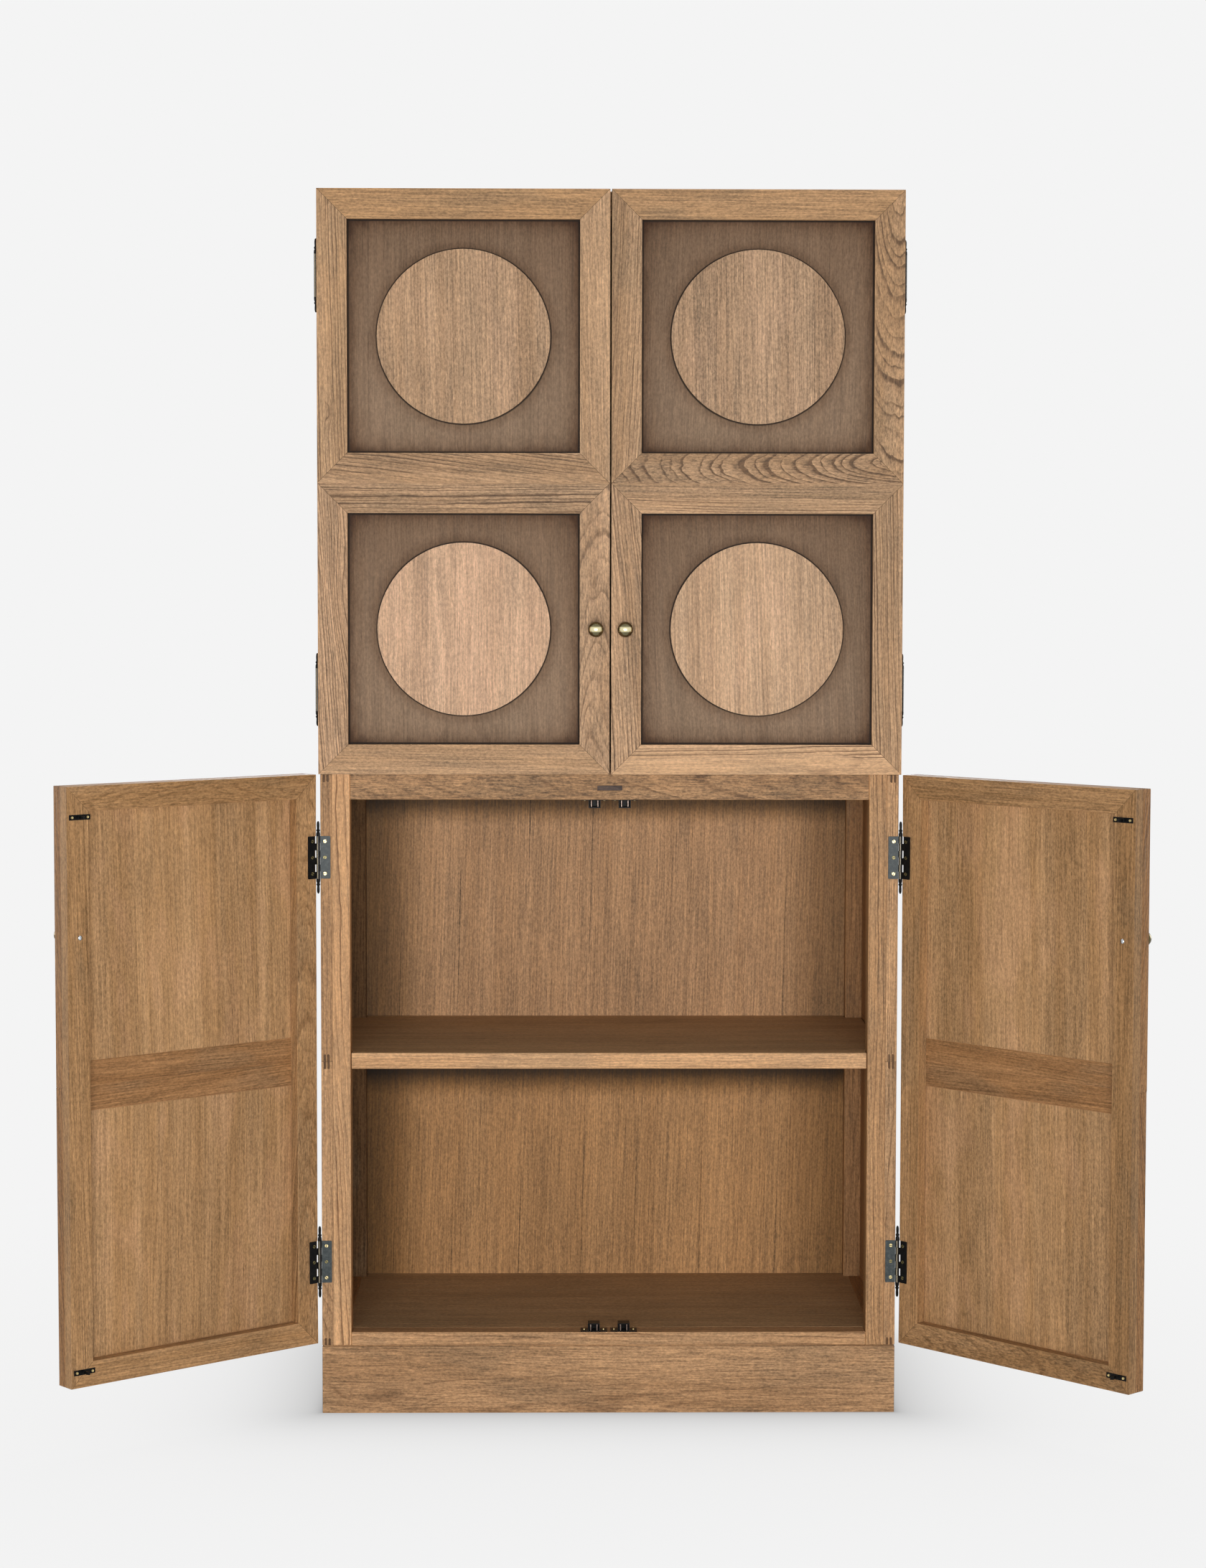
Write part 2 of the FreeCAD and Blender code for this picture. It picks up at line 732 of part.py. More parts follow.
def door_layers(name, knob_square):
    """The two keyed squares in front, the long frame behind them, the panels and the discs."""
    squares, panels, discs = [], [], []
    middle = "pin_offset + door_width / 2"
    for number in (0, 1):
        centre = f"door_square * ({number} + 1 / 2)"
        drilled = {}
        if number == knob_square:
            hole = knob_hole(f"{name}_front_hole", "0", "-door_width / 2 + knob_inset", "front_layer")
            drilled = {"right": [hole]}
        pieces = mitred_frame(
            f"{name}_square_{number}", "door_width", "door_square", "square_member", "front_layer",
            rebated=True, keyed=True, pockets=drilled,
        )
        squares.append(group(f"{name}_square_{number}", pieces, middle, "-layer_seam", centre, UPRIGHT))
        half_wide, half_tall = "door_width / 2 - back_member", "door_square / 2 - back_member"
        panels.append(box(
            f"{name}_panel_{number}", (f"{middle} - ({half_wide})", f"{middle} + {half_wide}"),
            ("-layer_seam - panel_thickness", "-layer_seam"),
            (f"{centre} - ({half_tall})", f"{centre} + {half_tall}"),
        ))
        discs.append(sided_rod(
            f"{name}_disc_{number}", DISC_SIDES, "disc_diameter / 2", "disc_thickness",
            middle, "-layer_seam - panel_thickness", centre, UPRIGHT,
        ))
    mortises = [
        box(
            f"{name}_mortise_{number}", (f"{low} - hinge_height / 2", f"{low} + hinge_height / 2"),
            ("-door_width / 2", "-door_width / 2 + leaf_width"), ("0", "leaf_thickness"),
        )
        for number, low in enumerate(("hinge_inset - door_height / 2", "door_height / 2 - hinge_inset"))
    ]
    rise = f"door_square * ({knob_square} + 1 / 2) - door_height / 2"
    hole = knob_hole(f"{name}_back_hole", rise, "-door_width / 2 + knob_inset", "back_layer")
    frame = mitred_frame(
        f"{name}_back", "door_width", "door_height", "back_member", "back_layer",
        pockets={"left": mortises, "right": [hole]},
    )
    back = group(f"{name}_back_frame_upright", frame, middle, "-door_back", "door_height / 2", UPRIGHT)
    return squares, panels, discs, [back]


def door_pair(level, ceiling, knob_square):
    """The left and right doors of one half of the cabinet, opened by their angles."""
    name, door_bottom = f"{level}_door", f"{level}_door_bottom"
    squares, panels, discs, back = door_layers(name, knob_square)
    knob_rise = f"door_square * ({knob_square} + 1 / 2)"
    held_knob, knob_screw = knob(f"{name}_knob", knob_rise)
    leaves = [
        hinge_leaf(f"{name}_leaf_{number}", rise, (1, 3), -1)
        for number, rise in enumerate(("hinge_inset", "door_height - hinge_inset"))
    ]
    kinds = {
        "front_frames": squares, "panels": panels, "discs": discs, "back_frame": back,
        "knob": [held_knob, knob_screw], "hinge_leaves": leaves,
        "strikes": door_strikes(name, door_bottom, f"{level}_floor", ceiling),
    }
    for kind, things in kinds.items():
        closed = group(f"{name}_{kind}_closed", things)
        for side, way in (("left", -1), ("right", 1)):
            label = f"{level}_{side}_door_{kind}"
            thing = closed if side == "left" else mirrored(f"{label}_mirrored", closed)
            # One degree sets the axis of the turn, and the formula after it sets the angle
            swung = group(
                label, [thing], f"{way} * (half_width + pin_offset)", "-carcass_depth / 2 - door_back",
                door_bottom, FreeCAD.Rotation(UP, way),
            )
            swung.setExpression("Placement.Rotation.Angle", formula(f"{way} * {level}_{side}_angle"))
            subpart(swung, label)


plinth()
side_frames()
legs()
rails_and_boards()
shelves()
carcass_hinges()
catches()
door_pair("upper", "top_rail_bottom", 0)
door_pair("lower", "middle_rail_bottom", 1)
doc.recompute()

# Check every object, then write one file for each sub-part

failed = [thing.Label for thing in doc.Objects if {"Invalid", "Error"} & set(thing.State)]
if failed:
    raise RuntimeError(f"failed objects: {failed}")
for thing in subparts:
    if thing.Shape.isNull() or not thing.Shape.isValid():
        raise RuntimeError(f"bad shape: {thing.Label}")
os.makedirs("parts", exist_ok=True)
for thing in subparts:
    thing.Shape.exportStep(f"parts/{thing.Label}.step")
    print(thing.Label, len(thing.Shape.Solids), round(thing.Shape.Volume))
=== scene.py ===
"""The looks of a tall oak cabinet with mitred squares, raised discs, finial hinges and ball knobs."""

import json
import logging
import math
import random
from dataclasses import dataclass, field, replace
from enum import Enum, IntEnum
from typing import Iterable, Sequence

import bmesh
import bpy
from mathutils import Matrix, Vector

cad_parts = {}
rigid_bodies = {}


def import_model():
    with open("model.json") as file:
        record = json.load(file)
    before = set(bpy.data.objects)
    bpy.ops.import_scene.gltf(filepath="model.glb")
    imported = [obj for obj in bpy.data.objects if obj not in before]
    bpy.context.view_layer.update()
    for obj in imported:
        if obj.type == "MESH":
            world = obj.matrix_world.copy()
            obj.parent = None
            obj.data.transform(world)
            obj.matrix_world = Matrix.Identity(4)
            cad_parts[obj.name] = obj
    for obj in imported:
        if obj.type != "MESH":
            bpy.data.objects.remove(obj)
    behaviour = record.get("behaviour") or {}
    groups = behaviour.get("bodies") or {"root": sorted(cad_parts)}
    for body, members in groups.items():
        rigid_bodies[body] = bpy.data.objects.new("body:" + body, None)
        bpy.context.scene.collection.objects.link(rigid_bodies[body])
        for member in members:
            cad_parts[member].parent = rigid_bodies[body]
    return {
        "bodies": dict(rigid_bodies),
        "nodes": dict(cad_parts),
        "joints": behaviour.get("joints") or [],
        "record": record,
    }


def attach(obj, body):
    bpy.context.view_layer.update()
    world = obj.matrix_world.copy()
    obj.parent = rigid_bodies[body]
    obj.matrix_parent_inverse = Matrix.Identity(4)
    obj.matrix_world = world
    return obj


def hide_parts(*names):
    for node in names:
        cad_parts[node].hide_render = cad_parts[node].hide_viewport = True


LOG = logging.getLogger("cabinet")
MM = 0.001
NOWHERE = 10.0
CARCASS = "carcass"
DOORS = ("upper_left_door", "upper_right_door", "lower_left_door", "lower_right_door")
Socket = bpy.types.NodeSocket
Triangle = tuple[Vector, Vector, Vector]
Colour = tuple[float, float, float]
Span = tuple[float, float]
Ramp = tuple[float, float, Span]


# Node trees


class Wiring:
    """A node tree with short ways to add nodes and to join them."""

    def __init__(self, tree: bpy.types.NodeTree) -> None:
        """Keep the tree that the nodes go into."""
        self.tree = tree

    def add(self, kind: str, feeds: dict | None = None, **settings: object) -> bpy.types.Node:
        """Add a node.

        Args:
            kind: The node's type.
            feeds: What goes into its sockets, by name or number: a number, a colour or another socket.
            **settings: The node's own properties.

        Returns:
            The new node.
        """
        node = self.tree.nodes.new(kind)
        for name, setting in settings.items():
            setattr(node, name, setting)
        for key, source in (feeds or {}).items():
            self.feed(node.inputs[key], source)
        return node

    def feed(self, socket: Socket, source: object) -> None:
        """Join a socket to another one, or give it a value."""
        if isinstance(source, Socket):
            self.tree.links.new(source, socket)
        elif isinstance(source, tuple) and len(source) == 3 and socket.type == "RGBA":
            socket.default_value = (*source, 1)
        else:
            socket.default_value = source

    def sum(self, kind: str, first: object, second: object = 0.0, third: object = 0.0) -> Socket:
        """The result of a Math node."""
        return self.add("ShaderNodeMath", {0: first, 1: second, 2: third}, operation=kind).outputs[0]

    def plus(self, first: object, second: object) -> Socket:
        """Two numbers added."""
        return self.sum("ADD", first, second)

    def minus(self, first: object, second: object) -> Socket:
        """One number less another."""
        return self.sum("SUBTRACT", first, second)

    def times(self, first: object, second: object) -> Socket:
        """Two numbers multiplied."""
        return self.sum("MULTIPLY", first, second)

    def over(self, first: object, second: object) -> Socket:
        """One number divided by another."""
        return self.sum("DIVIDE", first, second)

    def vectors(self, kind: str, first: object, second: tuple | None = None) -> bpy.types.Node:
        """A Vector Math node of one or two vectors."""
        feeds = {0: first} if second is None else {0: first, 1: second}
        return self.add("ShaderNodeVectorMath", feeds, operation=kind)

    def split(self, vector: object) -> list[Socket]:
        """The three numbers of a vector."""
        return list(self.add("ShaderNodeSeparateXYZ", {0: vector}).outputs)

    def chance(self, number: object) -> Socket:
        """A number between 0 and 1 that depends on another one by chance."""
        return self.add("ShaderNodeTexWhiteNoise", {"W": number}, noise_dimensions="1D").outputs[0]

    def between(self, share: object, first: object, second: object) -> Socket:
        """A number that lies between two others by a share."""
        return self.add("ShaderNodeMix", {0: share, 2: first, 3: second}, data_type="FLOAT").outputs[0]

    def stretch(self, place: object, scale: Sequence[float]) -> Socket:
        """A place multiplied by its own factor along each axis."""
        return self.vectors("MULTIPLY", place, tuple(scale)).outputs[0]

    def noise(self, place: object, detail: float = 2.0, roughness: float = 0.5) -> Socket:
        """A smooth noise between 0 and 1 at a place that is already scaled."""
        feeds = {"Vector": place, "Scale": 1.0, "Detail": detail, "Roughness": roughness}
        return self.add("ShaderNodeTexNoise", feeds).outputs[0]

    def span(self, value: object, low: float, high: float, out: Span = (0, 1)) -> Socket:
        """A value moved smoothly from one range to another and held at its ends."""
        feeds = {"Value": value, "From Min": low, "From Max": high, "To Min": out[0], "To Max": out[1]}
        return self.add("ShaderNodeMapRange", feeds, interpolation_type="SMOOTHSTEP").outputs[0]

    def blend(self, factor: object, first: object, second: object, way: str = "MIX") -> Socket:
        """Two colours mixed."""
        node = self.add("ShaderNodeMix", data_type="RGBA", blend_type=way, clamp_result=True)
        for index, source in ((0, factor), (6, first), (7, second)):
            self.feed(node.inputs[index], source)
        return node.outputs[2]

    def shade(self, colour: object, factor: object) -> Socket:
        """A colour made brighter or darker by a factor about 1."""
        return self.add("ShaderNodeVectorMath", {0: colour, "Scale": factor}, operation="SCALE").outputs[0]

    def attribute(self, name: str) -> bpy.types.Node:
        """A value or a vector that the mesh carries."""
        return self.add("ShaderNodeAttribute", attribute_name=name)

    def mark(self, name: str) -> Socket:
        """A vector that the mesh carries."""
        return self.attribute(name).outputs["Vector"]

    def parts(self, name: str) -> list[Socket]:
        """The three numbers of a vector that the mesh carries."""
        return self.split(self.mark(name))


def start_tree(owner: bpy.types.Material | bpy.types.World) -> Wiring:
    """Empty the nodes of a material or a world."""
    owner.use_nodes = True
    owner.node_tree.nodes.clear()
    return Wiring(owner.node_tree)


def add_object(name: str, data: bpy.types.ID) -> bpy.types.Object:
    """Make an object of a mesh, a lamp or a camera and put it in the scene."""
    made = bpy.data.objects.new(name, data)
    bpy.context.scene.collection.objects.link(made)
    return made


def new_group(name: str, inputs: dict[str, object], outputs: Sequence[str]) -> tuple[Wiring, object, object]:
    """Start a shader node group.

    Args:
        name: The group's name.
        inputs: Each input's name with its first value, a tuple for a vector.
        outputs: The names of the outputs, which are all numbers.

    Returns:
        The wiring, the group's input node and its output node.
    """
    tree = bpy.data.node_groups.new(name, "ShaderNodeTree")
    for label, value in inputs.items():
        kind = "NodeSocketVector" if isinstance(value, tuple) else "NodeSocketFloat"
        tree.interface.new_socket(label, in_out="INPUT", socket_type=kind).default_value = value
    for label in outputs:
        tree.interface.new_socket(label, in_out="OUTPUT", socket_type="NodeSocketFloat")
    wiring = Wiring(tree)
    return wiring, wiring.add("NodeGroupInput"), wiring.add("NodeGroupOutput")


class Figure:
    """The shader groups that draw wood, built once and shared by every wood finish."""

    RINGS = "growth rings"
    FIBRES = "fibres and pores"
    LEAVES = "veneer leaves"
    EDGES = "eased and glued edges"
    ORIGIN = (0.0, 0.0, 0.0)
    SLOW_WAVE = (1.8, 9.0, 9.0)
    QUICK_WAVE = (13.0, 60.0, 60.0)
    RIPPLE = 4 * MM
    KNOT_CELLS = (2.6, 13.0, 0.0)
    SWIRL = 0.03
    KNOT_LENGTH = 3.2
    BULGE = 1.1
    THIN_LINE = ((0.0, 0.06, (0, 1)), (0.12, 0.32, (0.75, 0)))
    WIDE_LINE = ((0.0, 0.1, (0, 1)), (0.2, 0.8, (0.3, 0)))
    SWIRL_FALL = (0.0, 0.5, (SWIRL, 0))
    PATCH_STRENGTH = (0.3, 0.65, (0.45, 1))
    YEAR_STRENGTH = (0.0, 1.0, (0.45, 1))
    DASH_STRENGTH = (0.3, 0.62, (0.55, 1))
    SMALL_KNOT = (0.02, 0.11, (1, 0))
    KNOT_CORE = (0.0, 0.45, (0.6, 0))
    KNOT_HALO = (0.0, 5.0, (0.25, 0))
    JOINT_PATCHES = (0.42, 0.6, (0, 1))
    EDGE_PATCH_STRENGTH = (0.25, 0.6, (0, 1))
    SEASON_PACE = 0.43
    SEASON_SWAY = 2.6
    RING_PATCHES = (5.0, 45.0, 45.0)
    RING_DASHES = (34.0, 260.0, 260.0)
    GRAIN_ROUGHNESS = 0.66
    GRAIN = (
        ("Streak", (6.0, 370.0, 370.0), 4.0, (0.34, 0.66), (-1, 1)),
        ("Fleck", (50.0, 320.0, 320.0), 1.0, (0.56, 0.72), (0, 1)),
        ("Speckle", (170.0, 300.0, 300.0), 2.0, (0.32, 0.68), (-1, 1)),
        ("Pore", (62.0, 560.0, 560.0), 1.0, (0.55, 0.68), (0, 1)),
        ("Band", (0.8, 24.0, 24.0), 2.0, (0.32, 0.68), (-1, 1)),
        ("Cloud", (4.0, 11.0, 11.0), 2.0, (0.32, 0.68), (-1, 1)),
    )
    SEAM_WAVER = (0.0, 4.0, 0.0)
    SEAM_SWAY = 0.09
    SEAM_PATCHES = (2.4, 6.0, 6.0)
    EDGE_PATCH_SCALE = (30.0, 30.0, 30.0)

    @staticmethod
    def year_line(wires: Wiring, part: Socket) -> Socket:
        """How dark a ring is at a part of its year: a thin line where growth starts, and a wide one."""
        thin, wide = (
            wires.times(wires.span(part, *rise), wires.span(part, *fall))
            for rise, fall in (Figure.THIN_LINE, Figure.WIDE_LINE)
        )
        return wires.plus(thin, wide)

    @classmethod
    def growth_rings(cls) -> None:
        """Rings about the log's pith, dark where a year's growth starts, bent round a few knots."""
        inputs = {
            "Place": cls.ORIGIN, "From Knot": (10.0, 10.0, 0.01),
            "Width": 6 * MM, "Wander": 5 * MM, "Knots": 0.2,
        }
        wires, given, result = new_group(cls.RINGS, inputs, ["Line", "Knot"])
        place = given.outputs["Place"]
        along, across, size = wires.split(given.outputs["From Knot"])
        along = wires.over(wires.over(along, size), cls.KNOT_LENGTH)
        across = wires.over(across, size)
        apart = wires.plus(wires.times(along, along), wires.times(across, across))
        bulge = wires.times(wires.sum("EXPONENT", wires.times(apart, -1.0)), wires.times(size, cls.BULGE))
        slow = wires.noise(wires.stretch(place, cls.SLOW_WAVE), 1.0)
        quick = wires.noise(wires.stretch(place, cls.QUICK_WAVE), 2.0)
        cells = wires.add(
            "ShaderNodeTexVoronoi", {"Vector": wires.stretch(place, cls.KNOT_CELLS), "Scale": 1.0},
            feature="F1", voronoi_dimensions="3D",
        )
        rare = wires.sum("LESS_THAN", wires.split(cells.outputs["Color"])[0], given.outputs["Knots"])
        near = cells.outputs["Distance"]
        swirl = wires.times(wires.span(near, *cls.SWIRL_FALL), rare)
        radius = wires.vectors("LENGTH", wires.stretch(place, (0.0, 1.0, 1.0))).outputs["Value"]
        drift = wires.times(wires.minus(slow, 0.5), wires.times(given.outputs["Wander"], 4.0))
        ripple = wires.times(wires.minus(quick, 0.5), cls.RIPPLE)
        bent = wires.plus(wires.plus(radius, wires.plus(swirl, bulge)), wires.plus(drift, ripple))
        even = wires.over(bent, given.outputs["Width"])
        pace = wires.add("ShaderNodeCombineXYZ", {"X": wires.times(even, cls.SEASON_PACE)}).outputs[0]
        years = wires.sum("MULTIPLY_ADD", wires.noise(pace, 1.0), cls.SEASON_SWAY, even)
        year = wires.sum("FLOOR", years)
        line = cls.year_line(wires, wires.sum("FRACT", years))
        patches = wires.span(wires.noise(wires.stretch(place, cls.RING_PATCHES), 1.0), *cls.PATCH_STRENGTH)
        strength = wires.times(wires.span(wires.chance(year), *cls.YEAR_STRENGTH), patches)
        dashes = wires.span(wires.noise(wires.stretch(place, cls.RING_DASHES), 2.0), *cls.DASH_STRENGTH)
        wires.feed(result.inputs["Line"], wires.times(line, wires.times(strength, dashes)))
        small = wires.times(wires.span(near, *cls.SMALL_KNOT), rare)
        core = wires.plus(wires.span(apart, *cls.KNOT_CORE), wires.span(apart, *cls.KNOT_HALO))
        wires.feed(result.inputs["Knot"], wires.sum("MAXIMUM", small, core))

    @classmethod
    def fibres(cls) -> None:
        """Fine streaks, pale flecks, short dark pores and broad slow bands that all run along the grain."""
        labels = ["Streak", "Speckle", "Fleck", "Pore", "Band", "Cloud"]
        wires, given, result = new_group(cls.FIBRES, {"Place": cls.ORIGIN}, labels)
        for label, scale, detail, (low, high), out in cls.GRAIN:
            spread = wires.noise(wires.stretch(given.outputs["Place"], scale), detail, cls.GRAIN_ROUGHNESS)
            wires.feed(result.inputs[label], wires.span(spread, low, high, out))

    @classmethod
    def veneer_leaves(cls) -> None:
        """A tone for each leaf of veneer, laid side by side, and the dark joints that show here and there."""
        inputs = {"Place": cls.ORIGIN, "Width": 0.1, "Seam": 0.0016}
        wires, given, result = new_group(cls.LEAVES, inputs, ["Tone", "Joint"])
        place = given.outputs["Place"]
        across = wires.split(place)[1]
        waver = wires.noise(wires.stretch(place, cls.SEAM_WAVER), 0.0)
        moved = wires.plus(across, wires.times(waver, cls.SEAM_SWAY))
        count = wires.over(moved, given.outputs["Width"])
        leaf = wires.chance(wires.sum("FLOOR", count))
        part = wires.times(wires.sum("FRACT", count), given.outputs["Width"])
        wires.feed(result.inputs["Tone"], wires.span(leaf, 0.0, 1.0, (-1, 1)))
        shown = wires.span(wires.noise(wires.stretch(place, cls.SEAM_PATCHES), 1.0), *cls.JOINT_PATCHES)
        seam = wires.sum("LESS_THAN", part, given.outputs["Seam"])
        wires.feed(result.inputs["Joint"], wires.times(seam, shown))

    @classmethod
    def edges(cls) -> None:
        """Where an arris is eased and pale, partly real wear and partly painted highlight, and where a glued
        joint is dark.
        """
        wires, given, result = new_group(cls.EDGES, {"Break": 0.5}, ["Worn", "Joint"])
        arris = wires.attribute("arris").outputs["Fac"]
        patch = wires.noise(wires.stretch(wires.mark("log_place"), cls.EDGE_PATCH_SCALE), 2.0)
        broken = wires.between(given.outputs["Break"], 1.0, wires.span(patch, *cls.EDGE_PATCH_STRENGTH))
        wires.feed(result.inputs["Worn"], wires.times(wires.span(arris, 0.0, 1.0), broken))
        wires.feed(result.inputs["Joint"], wires.span(wires.times(arris, -1.0), 0.0, 1.0))

    @classmethod
    def build(cls) -> None:
        """Make all the groups."""
        cls.growth_rings()
        cls.fibres()
        cls.veneer_leaves()
        cls.edges()


# Finishes


@dataclass(frozen=True)
class Finish:
    """What every finish has: a name, and the slot of the record that it belongs to."""

    name: str
    slot: str

    def start(self) -> tuple[bpy.types.Material, Wiring, bpy.types.Node]:
        """Start the material.

        Returns:
            The material, its wiring and its Principled shader.
        """
        material = bpy.data.materials.new(self.name)
        wires = start_tree(material)
        shader = wires.add("ShaderNodeBsdfPrincipled")
        wires.add("ShaderNodeOutputMaterial", {"Surface": shader.outputs[0]})
        return material, wires, shader

    @staticmethod
    def group(wires: Wiring, name: str, **feeds: object) -> bpy.types.Node:
        """Place one of the shared groups in a material."""
        node = wires.add("ShaderNodeGroup", node_tree=bpy.data.node_groups[name])
        for label, source in feeds.items():
            wires.feed(node.inputs[label], source)
        return node


@dataclass(frozen=True)
class Oak(Finish):
    """Oak, solid or as veneer, with its colours and how strongly each mark shows."""

    pale: Colour = (0.5, 0.325, 0.19)
    deep: Colour = (0.35, 0.215, 0.118)
    line: Colour = (0.15, 0.085, 0.045)
    blush: Colour = (0.6, 0.36, 0.25)
    gold: Colour = (0.43, 0.24, 0.105)
    smoke: Colour = (0.25, 0.185, 0.115)
    ring_share: float = 1.0
    wander: float = 5 * MM
    knots: float = 0.1
    rings: float = 0.9
    streaks: float = 0.24
    speckles: float = 0.19
    flecks: float = 0.24
    pores: float = 0.45
    smokes: float = 0.18
    bands: float = 0.8
    clouds: float = 0.06
    blushes: float = 0.0
    leaf_width: float = 0.0
    leaf_tone: float = 0.08
    leaf_joint: float = 0.1
    knot_dark: float = 0.7
    streak_rough: float = 0.05
    streak_height: float = 0.3
    least_pore: float = 0.5
    ring_pore: float = 0.7
    strip_wave: tuple[float, float, float] = (3.0, 20.0, 20.0)
    strip_sway: float = 6 * MM
    strip_blend: float = 1.5 * MM
    strip_calm: float = 0.85
    strip_line: Span = (0.3 * MM, 1.1 * MM)
    wear_and_highlight: float = 0.4
    wear_highlight_lift: float = 1.3
    wear_highlight_break: float = 0.7
    glue_dark: float = 0.8
    glue: Colour = (0.05, 0.03, 0.018)
    roughness: float = 0.55
    gloss: float = 0.16
    bump: float = 0.35
    relief: float = 0.12 * MM

    def material(self) -> bpy.types.Material:
        """Build the material.

        Returns:
            The finished material.
        """
        material, wires, shader = self.start()
        colour, rough, height = self.wood(wires)
        self.finish(wires, shader, colour, rough, height)
        return material

    def stain(self, wires: Wiring, warmth: Socket, band: Socket, cloud: Socket) -> Socket:
        """The wood's ground colour, with its bands, blushes and smoky patches."""
        colour = wires.blend(wires.plus(wires.times(band, self.bands / 2), 0.5), self.pale, self.deep)
        blush = wires.times(wires.span(cloud, 0.0, 1.0), self.blushes)
        colour = wires.blend(blush, colour, self.blush)
        colour = wires.blend(warmth, colour, self.blush)
        colour = wires.blend(wires.times(warmth, -1.0), colour, self.gold)
        smoke = wires.times(wires.span(cloud, -1.0, -0.1, (1, 0)), self.smokes)
        return wires.blend(smoke, colour, self.smoke)

    def wood(self, wires: Wiring) -> tuple[Socket, Socket, Socket]:
        """Draw the wood itself.

        Returns:
            The colour, the roughness and the height of the surface.
        """
        place = wires.mark("log_place")
        tone, warmth, figure = wires.parts("board_tint")
        strip, strip_tone, line_tone = wires.parts("strip")
        rings = self.group(wires, Figure.RINGS, Place=place, Wander=self.wander, Knots=self.knots)
        wires.feed(rings.inputs["Width"], wires.times(wires.parts("face_place")[2], self.ring_share))
        wires.feed(rings.inputs["From Knot"], wires.mark("from_knot"))
        line, knot = rings.outputs
        sway = wires.minus(wires.noise(wires.stretch(place, self.strip_wave), 1.0), 0.5)
        swayed = wires.sum("MULTIPLY_ADD", sway, self.strip_sway, strip)
        plain = wires.span(swayed, -self.strip_blend, self.strip_blend)
        figure = wires.times(figure, wires.sum("MULTIPLY_ADD", plain, -self.strip_calm, 1.0))
        strip_edge = wires.span(wires.sum("ABSOLUTE", strip), *self.strip_line, (1, 0))
        tone = wires.sum("MULTIPLY_ADD", plain, strip_tone, tone)
        tone = wires.sum("MULTIPLY_ADD", strip_edge, line_tone, tone)
        streak, speckle, fleck, pore, band, cloud = self.group(wires, Figure.FIBRES, Place=place).outputs
        colour = self.stain(wires, warmth, band, cloud)
        lines = wires.times(line, wires.times(figure, self.rings))
        colour = wires.blend(lines, colour, self.line)
        pored = wires.times(pore, wires.sum("MULTIPLY_ADD", line, self.ring_pore, self.least_pore))
        colour = wires.blend(wires.times(pored, self.pores), colour, self.line)
        colour = wires.blend(wires.times(knot, self.knot_dark), colour, self.line)
        light = wires.plus(wires.times(streak, self.streaks), wires.times(fleck, self.flecks))
        light = wires.sum("MULTIPLY_ADD", speckle, self.speckles, light)
        light = wires.sum("MULTIPLY_ADD", cloud, self.clouds, light)
        if self.leaf_width:
            leaves = self.group(wires, Figure.LEAVES, Place=place, Width=self.leaf_width)
            leaf_tone, leaf_joint = leaves.outputs
            light = wires.plus(light, wires.times(leaf_tone, self.leaf_tone))
            light = wires.minus(light, wires.times(leaf_joint, self.leaf_joint))
        colour = wires.shade(colour, wires.plus(light, wires.plus(tone, 1.0)))
        # Pale arrises, partly real wear and partly painted highlight, and dark glued joints.
        wear_and_highlight, joint = self.group(wires, Figure.EDGES, Break=self.wear_highlight_break).outputs
        colour = wires.blend(wires.times(wear_and_highlight, self.wear_and_highlight), colour, wires.shade(self.pale, self.wear_highlight_lift))
        colour = wires.blend(wires.times(joint, self.glue_dark), colour, self.glue)
        rough = wires.plus(wires.times(streak, self.streak_rough), self.roughness)
        height = wires.minus(wires.times(streak, self.streak_height), wires.plus(pored, lines))
        return colour, rough, height

    def finish(
        self, wires: Wiring, shader: bpy.types.Node, colour: Socket,
        rough: Socket, height: Socket,
    ) -> None:
        """Join the wood to the shader under a thin matt lacquer."""
        wires.feed(shader.inputs["Base Color"], colour)
        wires.feed(shader.inputs["Roughness"], rough)
        shader.inputs["Specular IOR Level"].default_value = self.gloss
        bump = wires.add("ShaderNodeBump", {"Strength": self.bump, "Distance": self.relief, "Height": height})
        wires.feed(shader.inputs["Normal"], bump.outputs[0])


